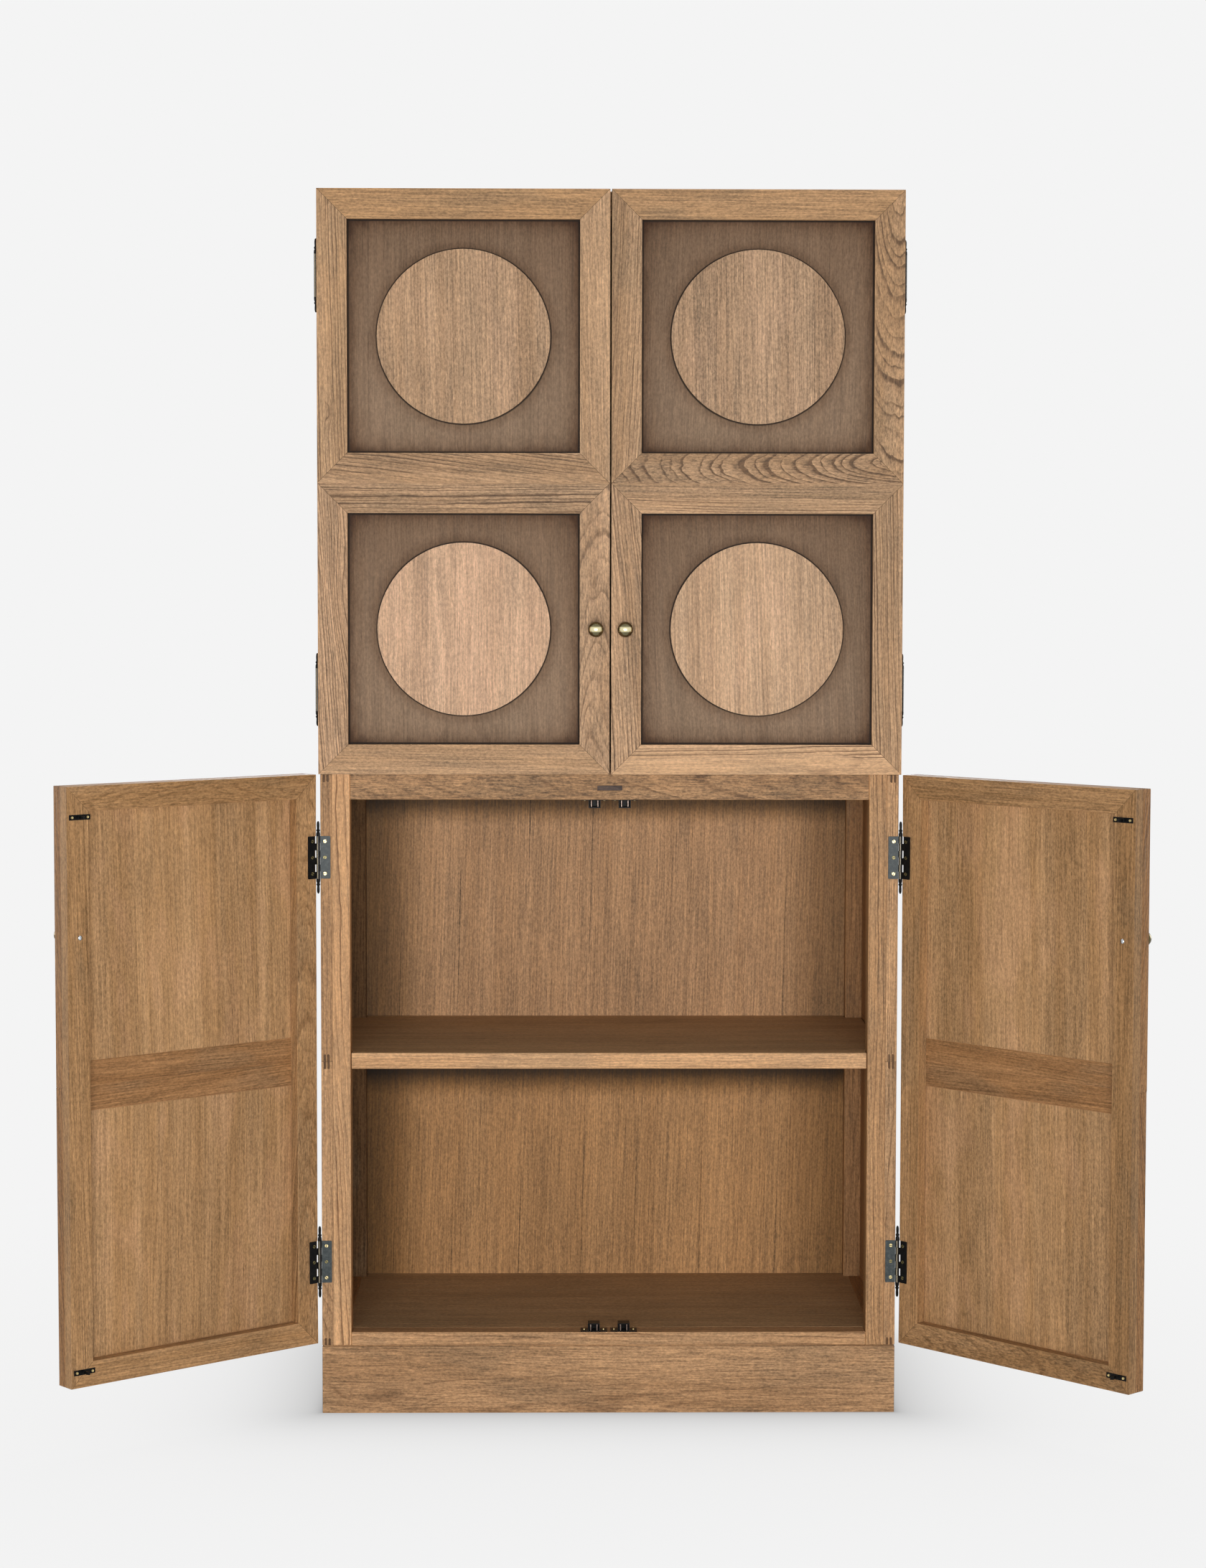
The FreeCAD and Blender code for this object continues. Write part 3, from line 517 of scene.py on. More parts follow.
@dataclass(frozen=True)
class StainedOak(Oak):
    """Veneer under a brown stain, darker at the frame, in its corners and round the disc, partly from the
    stain and partly painted shade; with painted shade towards the top and near-black painted shadow lines.
    """

    opening: Span = (402.5 * MM, 401.5 * MM)
    disc: float = 300 * MM
    stain_and_shade_reach: float = 40 * MM
    ragged_share: float = 0.6
    patches: tuple[float, float, float] = (26.0, 70.0, 70.0)
    crevice: float = 4.5 * MM
    crevice_shadow: float = 0.97
    rim_crevice: float = 3.6 * MM
    rim_shadow: float = 0.92
    top_shade: float = 0.4
    stain_and_shade: Colour = (0.4, 0.29, 0.2)
    edge_stain_and_shade: tuple[Span, ...] = ((1.0, 0.4), (0.4, 0.5))
    corner_stain_and_shade: tuple[Span, ...] = ((1.5, 0.9), (3.5, 0.35))
    rim_stain_and_shade: tuple[Span, ...] = ((0.6, 0.42),)
    shadow_line: Colour = (0.012, 0.007, 0.004)

    def wood(self, wires: Wiring) -> tuple[Socket, Socket, Socket]:
        """Draw the veneer, the stain over it, and its painted shade and shadow lines.

        Returns:
            The colour, the roughness and the height of the surface.
        """
        colour, rough, height = super().wood(wires)
        place = wires.mark("face_place")
        face = wires.split(place)
        wide, tall = (size / 2 for size in self.opening)
        across = wires.minus(wide, wires.sum("ABSOLUTE", face[0]))
        along = wires.minus(tall, wires.sum("ABSOLUTE", face[1]))
        edge = wires.sum("MINIMUM", across, along)
        corner = wires.plus(across, along)
        rim = wires.minus(wires.vectors("LENGTH", place).outputs["Value"], self.disc / 2)
        patch = wires.noise(wires.stretch(wires.mark("log_place"), self.patches), 4.0, 0.65)
        ragged = wires.times(wires.minus(patch, 0.5), self.stain_and_shade_reach * self.ragged_share)
        # Darker near the frame, in its corners and round the disc: partly real stain, partly painted shade.
        for distance, stain_and_shade_steps in (
            (edge, self.edge_stain_and_shade), (corner, self.corner_stain_and_shade), (rim, self.rim_stain_and_shade),
        ):
            moved = wires.plus(distance, ragged)
            for share, strength in stain_and_shade_steps:
                stained = wires.span(moved, 0.0, self.stain_and_shade_reach * share, (strength, 0))
                colour = wires.blend(stained, colour, self.stain_and_shade, "MULTIPLY")
        # Painted shade: the panel darker towards its top.
        fade = wires.span(face[1], -tall, tall, (0, self.top_shade))
        colour = wires.blend(fade, colour, self.stain_and_shade, "MULTIPLY")
        # Painted shadow: near-black lines along the frame's inner edge and round the disc.
        for distance, reach, strength in (
            (edge, self.crevice, self.crevice_shadow), (rim, self.rim_crevice, self.rim_shadow),
        ):
            colour = wires.blend(wires.span(distance, reach / 3, reach, (strength, 0)), colour, self.shadow_line)
        return colour, rough, height


@dataclass(frozen=True)
class PaintedShadeOak(Oak):
    """Veneer with painted shade: darker near both side walls, under the middle rail and under the shelf, and
    amber in that shade; and more golden below the shelf.
    """

    left_side: Ramp = (-456 * MM, -315 * MM, (0.62, 0.0))
    right_side: Ramp = (275 * MM, 456 * MM, (0.0, 0.38))
    under_rail: Ramp = (1004 * MM, 1056 * MM, (0.0, 0.75))
    under_shelf: Ramp = (478 * MM, 542 * MM, (0.0, 0.9))
    shelf: Span = (545 * MM, 640 * MM)
    middle_board: float = 1100 * MM
    gilt: Colour = (0.98, 0.93, 0.78)
    shade_amber: Colour = (1.0, 0.86, 0.5)

    def wood(self, wires: Wiring) -> tuple[Socket, Socket, Socket]:
        """Draw the veneer with its painted shade.

        Returns:
            The colour, the roughness and the height of the surface.
        """
        colour, rough, height = super().wood(wires)
        across, _, up = wires.split(wires.add("ShaderNodeTexCoord").outputs["Object"])
        below = wires.span(up, *self.shelf, (1, 0))
        colour = wires.blend(below, colour, self.gilt, "MULTIPLY")
        # Painted shade under the middle rail and under the shelf.
        middle = wires.times(wires.minus(1.0, below), wires.sum("LESS_THAN", up, self.middle_board))
        above = wires.times(wires.span(up, *self.under_rail), middle)
        under = wires.times(wires.span(up, *self.under_shelf), below)
        dark = wires.sum("MAXIMUM", above, under)
        # Painted shade near each side wall; the shade is tinted amber.
        for reach in (self.left_side, self.right_side):
            side = wires.span(across, *reach)
            dark = wires.minus(wires.plus(dark, side), wires.times(dark, side))
        colour = wires.blend(dark, colour, self.shade_amber, "MULTIPLY")
        return wires.shade(colour, wires.minus(1.0, dark)), rough, height


@dataclass(frozen=True)
class Metal(Finish):
    """Metal with a skin of its own colour, scratched or rubbed through to brighter metal, partly real wear
    and partly painted highlight.
    """

    skin: Colour = (0.02, 0.022, 0.026)
    bare: Colour = (0.3, 0.3, 0.3)
    metallic: float = 1.0
    roughness: float = 0.4
    wear_and_highlight: float = 0.3
    mottle: float = 0.4
    bare_patch: Span = (0.4, 0.7)
    polish_highlight: float = 0.0
    polish_front: Span = (0.3, 0.75)
    polish_highlight_band: Span = (0.2, 0.42)
    polish_highlight_least: float = 0.12
    highlight_band_height: float = 0.04
    uneven: float = 0.25
    gloss: float = 0.5
    patches: float = 160.0
    grit: float = 1500.0
    bump: float = 0.15
    relief: float = 0.05 * MM

    def material(self) -> bpy.types.Material:
        """Build the material.

        Returns:
            The finished material.
        """
        material, wires, shader = self.start()
        place = wires.add("ShaderNodeTexCoord").outputs["Object"]
        patch = wires.noise(wires.stretch(place, (self.patches,) * 3), 4.0, 0.6)
        grit = wires.noise(wires.stretch(place, (self.grit,) * 3), 2.0)
        edge = wires.span(wires.attribute("arris").outputs["Fac"], 0.0, 1.0)
        bare = wires.times(wires.span(patch, *self.bare_patch), self.mottle)
        colour = wires.blend(bare, self.skin, self.bare)
        colour = wires.blend(wires.times(edge, self.wear_and_highlight), colour, self.bare)
        # The knob's front is brightened in a band about its middle: partly wear from hands, partly painted
        # highlight.
        if self.polish_highlight:
            front, above, _ = wires.parts("face_place")
            away = wires.sum("ABSOLUTE", wires.minus(above, self.highlight_band_height))
            band = wires.span(away, *self.polish_highlight_band, (1, self.polish_highlight_least))
            polish_and_highlight = wires.times(wires.span(front, *self.polish_front, (0, self.polish_highlight)), band)
            colour = wires.blend(polish_and_highlight, colour, self.bare)
        wires.feed(shader.inputs["Base Color"], colour)
        shader.inputs["Metallic"].default_value = self.metallic
        shader.inputs["Specular IOR Level"].default_value = self.gloss
        rough = wires.plus(self.roughness, wires.times(wires.minus(patch, 0.5), self.uneven))
        wires.feed(shader.inputs["Roughness"], rough)
        bump = wires.add("ShaderNodeBump", {"Strength": self.bump, "Distance": self.relief, "Height": grit})
        wires.feed(shader.inputs["Normal"], bump.outputs[0])
        return material


FINISHES = (
    Oak("frame oak", "natural_oak", pale=(0.5, 0.312, 0.176), deep=(0.36, 0.214, 0.111)),
    Oak(
        "carcass oak", "natural_oak",
        pale=(0.53, 0.312, 0.158), deep=(0.39, 0.218, 0.103), line=(0.16, 0.08, 0.036),
    ),
    Oak(
        "back oak", "natural_oak",
        pale=(0.44, 0.255, 0.12), deep=(0.337, 0.184, 0.077), line=(0.165, 0.082, 0.032),
        rings=0.6,
    ),
    # A darker copy of oak that paints shade on inner, recessed and gap faces.
    Oak(
        "recess shade oak", "natural_oak",
        pale=(0.36, 0.188, 0.08), deep=(0.26, 0.128, 0.05), line=(0.12, 0.055, 0.022),
        rings=0.6,
    ),
    # Near-black oak for the keys, also used as painted shadow on the discs' edges.
    Oak(
        "key oak", "natural_oak",
        pale=(0.13, 0.07, 0.035), deep=(0.1, 0.052, 0.026), line=(0.05, 0.025, 0.012),
        rings=0.3, wear_and_highlight=0.0,
    ),
    Oak(
        "disc veneer", "natural_oak",
        pale=(0.51, 0.332, 0.203), deep=(0.41, 0.255, 0.148), line=(0.19, 0.105, 0.055),
        blush=(0.58, 0.36, 0.25), rings=0.2, ring_share=1.7, knots=0.0, streaks=0.22, flecks=0.3, smokes=0.1,
        leaf_width=44 * MM, leaf_tone=0.06, leaf_joint=0.04, blushes=0.12, wear_and_highlight=0.95,
    ),
    # A near-black copy of oak that paints the shade in the gap between the upper doors.
    Oak(
        "shaded oak", "natural_oak",
        pale=(0.1, 0.052, 0.023), deep=(0.07, 0.036, 0.015), line=(0.03, 0.015, 0.007),
        rings=0.4, streaks=0.3, wear_and_highlight=0.0, gloss=0.05,
    ),
    # A dark copy of oak that paints shade on the left inner wall and the back left leg.
    Oak(
        "left wall shade oak", "natural_oak",
        pale=(0.15, 0.079, 0.035), deep=(0.11, 0.057, 0.024), line=(0.045, 0.023, 0.01),
        rings=0.4, streaks=0.3, wear_and_highlight=0.0, gloss=0.05,
    ),
    # A darker, less red copy of oak that paints shade on the up-facing tops of the shelf and floor.
    Oak(
        "shelf top shade oak", "natural_oak",
        pale=(0.43, 0.275, 0.145), deep=(0.34, 0.21, 0.105), line=(0.15, 0.08, 0.036),
        rings=0.3, ring_share=1.5, knots=0.0, streaks=0.2, flecks=0.16, smokes=0.1,
    ),
    # Back panels: veneer with painted shade near the walls and under the rail and shelf.
    PaintedShadeOak(
        "back veneer", "natural_oak",
        pale=(0.52, 0.3, 0.152), deep=(0.41, 0.225, 0.106), line=(0.17, 0.085, 0.036),
        rings=0.2, ring_share=1.5, knots=0.0, streaks=0.22, flecks=0.24, smokes=0.05, bands=0.5,
        leaf_width=122 * MM, leaf_tone=0.05, leaf_joint=0.5,
    ),
    Oak(
        "inside veneer", "natural_oak",
        pale=(0.5, 0.288, 0.146), deep=(0.4, 0.22, 0.104), line=(0.17, 0.085, 0.036),
        rings=0.3, ring_share=1.5, knots=0.0, streaks=0.34, flecks=0.26, smokes=0.1, leaf_width=122 * MM,
        leaf_tone=0.05, leaf_joint=0.5,
    ),
    Oak(
        "door back veneer", "natural_oak",
        pale=(0.475, 0.281, 0.136), deep=(0.38, 0.211, 0.091), line=(0.16, 0.08, 0.034),
        blush=(0.56, 0.32, 0.2), rings=0.14, ring_share=1.7, knots=0.0, streaks=0.19, flecks=0.16,
        smokes=0.05, leaf_width=86 * MM, leaf_tone=0.09, blushes=0.16,
    ),
    StainedOak(
        "stained veneer", "stained_oak",
        pale=(0.29, 0.192, 0.122), deep=(0.215, 0.138, 0.085), line=(0.07, 0.042, 0.028),
        rings=0.16, ring_share=1.6, knots=0.0, streaks=0.13, speckles=0.13, flecks=0.18, pores=0.3,
        smokes=0.06, bands=0.4, clouds=0.03, leaf_width=62 * MM, leaf_tone=0.02, gloss=0.1,
    ),
    Oak(
        "inlay wood", "inlay_wood",
        pale=(0.1, 0.07, 0.055), deep=(0.075, 0.05, 0.04), line=(0.04, 0.025, 0.02), wear_and_highlight=0.25,
    ),
    Metal(
        "blackened steel", "blackened_steel",
        skin=(0.004, 0.004, 0.004), bare=(0.03, 0.029, 0.027), metallic=0.0,
        roughness=0.36, wear_and_highlight=0.5, mottle=0.2, gloss=0.08,
    ),
    # Near black; its bare colour shows only as the painted highlight line on the knuckles.
    Metal(
        "barrel steel", "blackened_steel",
        skin=(0.006, 0.005, 0.004), bare=(0.5, 0.42, 0.28), metallic=0.0,
        roughness=0.3, wear_and_highlight=0.8, mottle=0.02, gloss=0.3,
    ),
    # A lighter copy of the blackened steel that paints sheen on the carcass leaves.
    Metal(
        "slate sheen steel", "blackened_steel",
        skin=(0.032, 0.042, 0.044), bare=(0.085, 0.097, 0.096), metallic=0.0,
        roughness=0.42, wear_and_highlight=0.3, mottle=0.7, gloss=0.26,
    ),
    # Its polish is partly wear from hands and partly a painted highlight band.
    Metal(
        "aged brass", "aged_brass",
        skin=(0.085, 0.07, 0.03), bare=(0.92, 0.82, 0.5), roughness=0.25, wear_and_highlight=0.1,
        mottle=0.05, polish_highlight=0.85,
    ),
    Metal(
        "brass screw", "brass_screws",
        skin=(0.62, 0.5, 0.24), bare=(0.85, 0.75, 0.45), roughness=0.32, wear_and_highlight=0.5,
    ),
    Metal(
        "dull screw", "brass_screws",
        skin=(0.17, 0.145, 0.065), bare=(0.3, 0.26, 0.13), roughness=0.42, wear_and_highlight=0.3,
    ),
    Metal(
        "zinc steel", "blackened_steel",
        skin=(0.5, 0.53, 0.56), bare=(0.75, 0.77, 0.78), roughness=0.2, wear_and_highlight=0.4,
    ),
    Metal(
        "roller steel", "blackened_steel",
        skin=(0.12, 0.085, 0.07), bare=(0.34, 0.28, 0.24), roughness=0.32, wear_and_highlight=0.4,
    ),
)


# Solids of the frame


@dataclass
class Solid:
    """One closed solid of a node, in the closed cabinet."""

    triangles: list[Triangle]

    def __post_init__(self) -> None:
        """Find its lowest and highest corners."""
        points = [point for triangle in self.triangles for point in triangle]
        self.low = Vector(min(point[axis] for point in points) for axis in range(3))
        self.high = Vector(max(point[axis] for point in points) for axis in range(3))

    @property
    def size(self) -> Vector:
        """Its length along each axis."""
        return self.high - self.low

    @property
    def middle(self) -> Vector:
        """The middle of its box."""
        return (self.low + self.high) / 2


class Model:
    """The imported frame: its nodes' solids, and how each body moves to close the cabinet."""

    WELD = 1e6

    def __init__(self) -> None:
        """Load the frame and read the joints."""
        self.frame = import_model()
        self.closing = {CARCASS: Matrix.Identity(4)}
        self.pins: dict[str, Vector] = {}
        for joint in self.frame["joints"]:
            pin = Vector(joint["pos_m"])
            turn = Matrix.Rotation(math.radians(joint["range_deg"][0]), 4, Vector(joint["axis"]))
            self.closing[joint["child"]] = Matrix.Translation(pin) @ turn @ Matrix.Translation(-pin)
            self.pins[joint["child"]] = pin

    @staticmethod
    def body_of(node: str) -> str:
        """The body that a node belongs to."""
        return next((door for door in DOORS if node.startswith(door)), CARCASS)

    def solids(self, node: str) -> list[Solid]:
        """Read a node solid by solid: each solid ends where its triangles have closed.

        Args:
            node: The node's name.

        Returns:
            The solids, where they are when the cabinet is closed.
        """
        mesh = self.frame["nodes"][node].data
        closing = self.closing[self.body_of(node)]
        places = [closing @ vertex.co for vertex in mesh.vertices]
        keys = [tuple(round(number * self.WELD) for number in vertex.co) for vertex in mesh.vertices]
        open_edges: set[tuple] = set()
        found, triangles = [], []
        for polygon in mesh.polygons:
            corners = list(polygon.vertices)
            triangles.append(tuple(places[corner] for corner in corners))
            for first, second in zip(corners, corners[1:] + corners[:1]):
                edge = (keys[first], keys[second])
                if edge[::-1] in open_edges:
                    open_edges.discard(edge[::-1])
                else:
                    open_edges.add(edge)
            if not open_edges:
                found.append(Solid(triangles))
                triangles = []
        return found


# Meshes


MARKS = ("log_place", "face_place", "board_tint", "strip", "from_knot")


@dataclass
class Stock:
    """The growing lists of one mesh, in the closed cabinet, with what its finish needs to know."""

    points: list[Vector] = field(default_factory=list)
    faces: list[list[int]] = field(default_factory=list)
    slots: list[int] = field(default_factory=list)
    arris: list[float] = field(default_factory=list)
    marks: dict[str, list[Vector]] = field(default_factory=lambda: {name: [] for name in MARKS})

    def take(self, mesh: bmesh.types.BMesh, slot: int = 0, edges: dict | None = None) -> range:
        """Add the faces of a bmesh and free it.

        Args:
            mesh: What to add.
            slot: The number of its finish.
            edges: A value for each eased or glued face, or face given a painted highlight, by the face's
                number.

        Returns:
            The numbers of the points that were added.
        """
        mesh.verts.index_update()
        mesh.faces.index_update()
        first = len(self.points)
        self.points.extend(vertex.co.copy() for vertex in mesh.verts)
        for face in mesh.faces:
            self.faces.append([first + vertex.index for vertex in face.verts])
            self.slots.append(slot)
            self.arris.extend([(edges or {}).get(face.index, 0.0)] * len(face.verts))
        mesh.free()
        added = range(first, len(self.points))
        for rows in self.marks.values():
            rows.extend(Vector() for _ in added)
        return added

    def piece(
        self, name: str, body: str, finishes: Sequence[str], model: Model,
        nodes: Iterable[str] = (), smooth: float = 0.0,
    ) -> bpy.types.Object:
        """Make the object, put it where its body is at rest, attach it to that body and hide any nodes that
        it stands for.

        Args:
            name: The object's name.
            body: The body that it rides on.
            finishes: The names of its finishes, in the order of the slots.
            model: The frame.
            nodes: The nodes that it stands for.
            smooth: The widest angle in degrees that is shaded smooth.

        Returns:
            The object.
        """
        mesh = bpy.data.meshes.new(name)
        opening = model.closing[body].inverted()
        mesh.from_pydata([opening @ point for point in self.points], [], self.faces)
        for finish in finishes:
            mesh.materials.append(bpy.data.materials[finish])
        mesh.polygons.foreach_set("material_index", self.slots)
        mesh.attributes.new("arris", "FLOAT", "CORNER").data.foreach_set("value", self.arris)
        for label, rows in self.marks.items():
            flat = [number for row in rows for number in row]
            mesh.attributes.new(label, "FLOAT_VECTOR", "POINT").data.foreach_set("vector", flat)
        if smooth:
            mesh.shade_smooth()
            soften(mesh, smooth)
        piece = add_object(name, mesh)
        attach(piece, body)
        if nodes:
            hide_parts(*nodes)
        LOG.info("%s on %s: %d faces", name, body, len(mesh.polygons))
        return piece


def soften(mesh: bpy.types.Mesh, angle: float) -> None:
    """Mark the edges sharp that turn by more than an angle in degrees."""
    work = bmesh.new()
    work.from_mesh(mesh)
    for edge in work.edges:
        edge.smooth = len(edge.link_faces) == 2 and edge.calc_face_angle(0.0) < math.radians(angle)
    work.to_mesh(mesh)
    work.free()


def lathe(profile: Sequence[tuple[float, float]], sides: int, foot: Vector, way: Vector) -> bmesh.types.BMesh:
    """Turn a profile about an axis.

    Args:
        profile: Radius and height of each ring, from the foot up; a radius of zero closes the end.
        sides: How many sides each ring has.
        foot: Where height zero is.
        way: The direction of the axis.

    Returns:
        The closed turned shape.
    """
    mesh = bmesh.new()
    angles = [2 * math.pi * number / sides for number in range(sides)]
    rings = []
    for radius, height in profile:
        around = angles if radius else angles[:1]
        rings.append([
            mesh.verts.new((radius * math.cos(angle), radius * math.sin(angle), height)) for angle in around
        ])
    for low, high in zip(rings, rings[1:]):
        for i in range(sides):
            j = (i + 1) % sides
            corners = [low[i % len(low)], low[j % len(low)], high[j % len(high)], high[i % len(high)]]
            mesh.faces.new(list(dict.fromkeys(corners)))
    for ring, order in ((rings[0], -1), (rings[-1], 1)):
        if len(ring) > 1:
            mesh.faces.new(ring[::order])
    turn = way.to_track_quat("Z", "Y").to_matrix().to_4x4()
    mesh.transform(Matrix.Translation(foot) @ turn)
    bmesh.ops.recalc_face_normals(mesh, faces=mesh.faces)
    return mesh


def block(low: Vector, high: Vector, ease: float = 0.0) -> bmesh.types.BMesh:
    """A block between two corners, with its edges eased."""
    mesh = bmesh.new()
    bmesh.ops.create_cube(mesh, size=1.0)
    size = high - low
    mesh.transform(Matrix.Translation((low + high) / 2) @ Matrix.Diagonal((*size, 1)))
    if ease:
        bmesh.ops.bevel(mesh, geom=mesh.edges[:], offset=ease, segments=2, profile=0.5, affect="EDGES")
    return mesh


# Joinery


class Way(Enum):
    """Which way the grain of a piece runs."""

    ALONG = "along its longest side"
    UPRIGHT = "upright"


@dataclass(frozen=True)
class Strip:
    """A plain strip along one side of a board: where it starts, its side, its tone and its edge's tone.

    A board without a strip has one that starts far outside it.
    """

    start: float
    side: int
    tone: float = 0.0
    line: float = 0.0


@dataclass(frozen=True)
class Knot:
    """A knot on a board's face: its place along and across the board from the middle, and its size.

    A board without a knot has one far outside it.
    """

    along: float
    across: float
    size: float


@dataclass(frozen=True)
class Character:
    """How one board was cut from its log: where the pith lies, how the board leans, tone and figure."""

    pith_across: float
    pith_deep: float
    lean_across: float = 0.0
    lean_deep: float = 0.0
    tone: float = 0.0
    warmth: float = 0.0
    figure: float = 1.0
    year: float = 4.4 * MM
    strip: Strip = Strip(NOWHERE, 1)
    knot: Knot = Knot(NOWHERE, NOWHERE, 5 * MM)


LEFT, RIGHT = "upper_left_door_front_frames", "upper_right_door_front_frames"
CUTS = {
    f"{LEFT} upper top": Character(210 * MM, 90 * MM, 0.008, 0.02, -0.02, -0.75, 0.4),
    f"{LEFT} upper bottom": Character(
        -150 * MM, 50 * MM, 0.13, 0.03, -0.05, 0.0, 3.0, 5.8 * MM, Strip(-9 * MM, -1, 0.14),
    ),
    f"{LEFT} upper left": Character(
        150 * MM, 60 * MM, 0.015, 0.02, 0.22, -0.2, 2.3, 4.6 * MM, knot=Knot(-129 * MM, -4 * MM, 7 * MM),
    ),
    f"{LEFT} upper right": Character(-120 * MM, 60 * MM, 0.03, 0.02, 0.0, 0.0, 0.35),
    f"{LEFT} lower top": Character(-48 * MM, 30 * MM, 0.02, 0.03, -0.04, 0.0, 2.3, 4.8 * MM),
    f"{LEFT} lower bottom": Character(240 * MM, 120 * MM, 0.01, 0.0, -0.02, -0.2, 0.2),
    f"{LEFT} lower left": Character(-130 * MM, 50 * MM, 0.09, 0.02, 0.09, 0.1, 2.2, 4.6 * MM),
    f"{LEFT} lower right": Character(
        4 * MM, 40 * MM, 0.0, -0.13, 0.05, 0.08, 1.1, 6 * MM, knot=Knot(82 * MM, 0.0, 7 * MM),
    ),
    f"{RIGHT} upper top": Character(-200 * MM, 90 * MM, 0.01, 0.02, -0.03, -0.6, 0.4),
    f"{RIGHT} upper bottom": Character(11 * MM, 46 * MM, 0.0, 0.2, -0.1, 0.0, 2.6, 4.6 * MM),
    f"{RIGHT} upper left": Character(
        160 * MM, 80 * MM, -0.07, 0.03, -0.01, 0.0, 1.4, 4.8 * MM, knot=Knot(53 * MM, -21 * MM, 5 * MM),
    ),
    f"{RIGHT} upper right": Character(15 * MM, 50 * MM, 0.0, 0.2, 0.0, -0.2, 1.6, 5.6 * MM),
    f"{RIGHT} lower top": Character(
        -160 * MM, 60 * MM, 0.012, 0.0, 0.22, 0.0, 2.0, 4.6 * MM, Strip(0.0, 1, -0.38),
    ),
    f"{RIGHT} lower bottom": Character(
        -170 * MM, 60 * MM, -0.012, 0.01, 0.36, 0.0, 3.0, 5.6 * MM, Strip(3 * MM, -1, 0.08),
    ),
    f"{RIGHT} lower left": Character(-90 * MM, 80 * MM, 0.11, 0.02, 0.02, 0.05, 1.7, 4.4 * MM),
    f"{RIGHT} lower right": Character(190 * MM, 70 * MM, 0.02, 0.02, 0.12, 0.0, 2.6, 5.4 * MM),
    "upper_left_door_discs upper": Character(260 * MM, 110 * MM, 0.02, 0.0, -0.1, -0.2, 0.6),
    "upper_left_door_discs lower": Character(-230 * MM, 120 * MM, 0.0, 0.02, 0.15, 0.25, 0.7),
    "upper_right_door_discs upper": Character(-250 * MM, 90 * MM, 0.01, 0.0, -0.16, -0.1, 1.0),
    "upper_right_door_discs lower": Character(300 * MM, 100 * MM, 0.03, 0.0, 0.15, 0.0, 2.4),
    "middle_rail": Character(10 * MM, 75 * MM, 0.02, 0.09, -0.31, -0.2, 0.8, 6 * MM),
    "front_left_leg": Character(
        180 * MM, 70 * MM, 0.01, 0.02, 0.4, 0.0, 1.6, 4.4 * MM, Strip(0.0, 1, 0.02, 0.2),
    ),
    "front_right_leg": Character(-160 * MM, 70 * MM, 0.01, 0.02, 0.03, -0.3, 1.3, 4.4 * MM),
    "bottom_rail": Character(150 * MM, 80 * MM, 0.004, 0.0, 0.02, 0.0, 1.7, 5 * MM),
    "plinth_front": Character(
        -70 * MM, 60 * MM, 0.02, 0.05, -0.1, 0.0, 0.6, 6 * MM, knot=Knot(-400 * MM, -30 * MM, 22 * MM),
    ),
}


@dataclass(frozen=True)
class Timber:
    """How the solids of one node are cut and finished.

    The back finish is for faces that look back, the wall finish for those that look neither forward nor back,
    the inner finish for those that look to the cabinet's middle from within the inner reach, and the level
    finish for those that look up. Where one of them is a darker copy of oak, it paints shade on those faces.
    """

    finish: str = "frame oak"
    way: Way = Way.ALONG
    arris: float = 0.9 * MM
    seam: float = 0.3 * MM
    back_finish: str = ""
    wall_finish: str = ""
    inner_finish: str = ""
    inner_reach: float = NOWHERE
    level_finish: str = ""
    figured: float = 0.35
    tone: float = 0.0


class BoardFace(IntEnum):
    """Which finish a face of a board takes, in the order of its piece's slots."""

    BODY = 0
    KEY = 1
    BACK = 2
    OTHER = 3


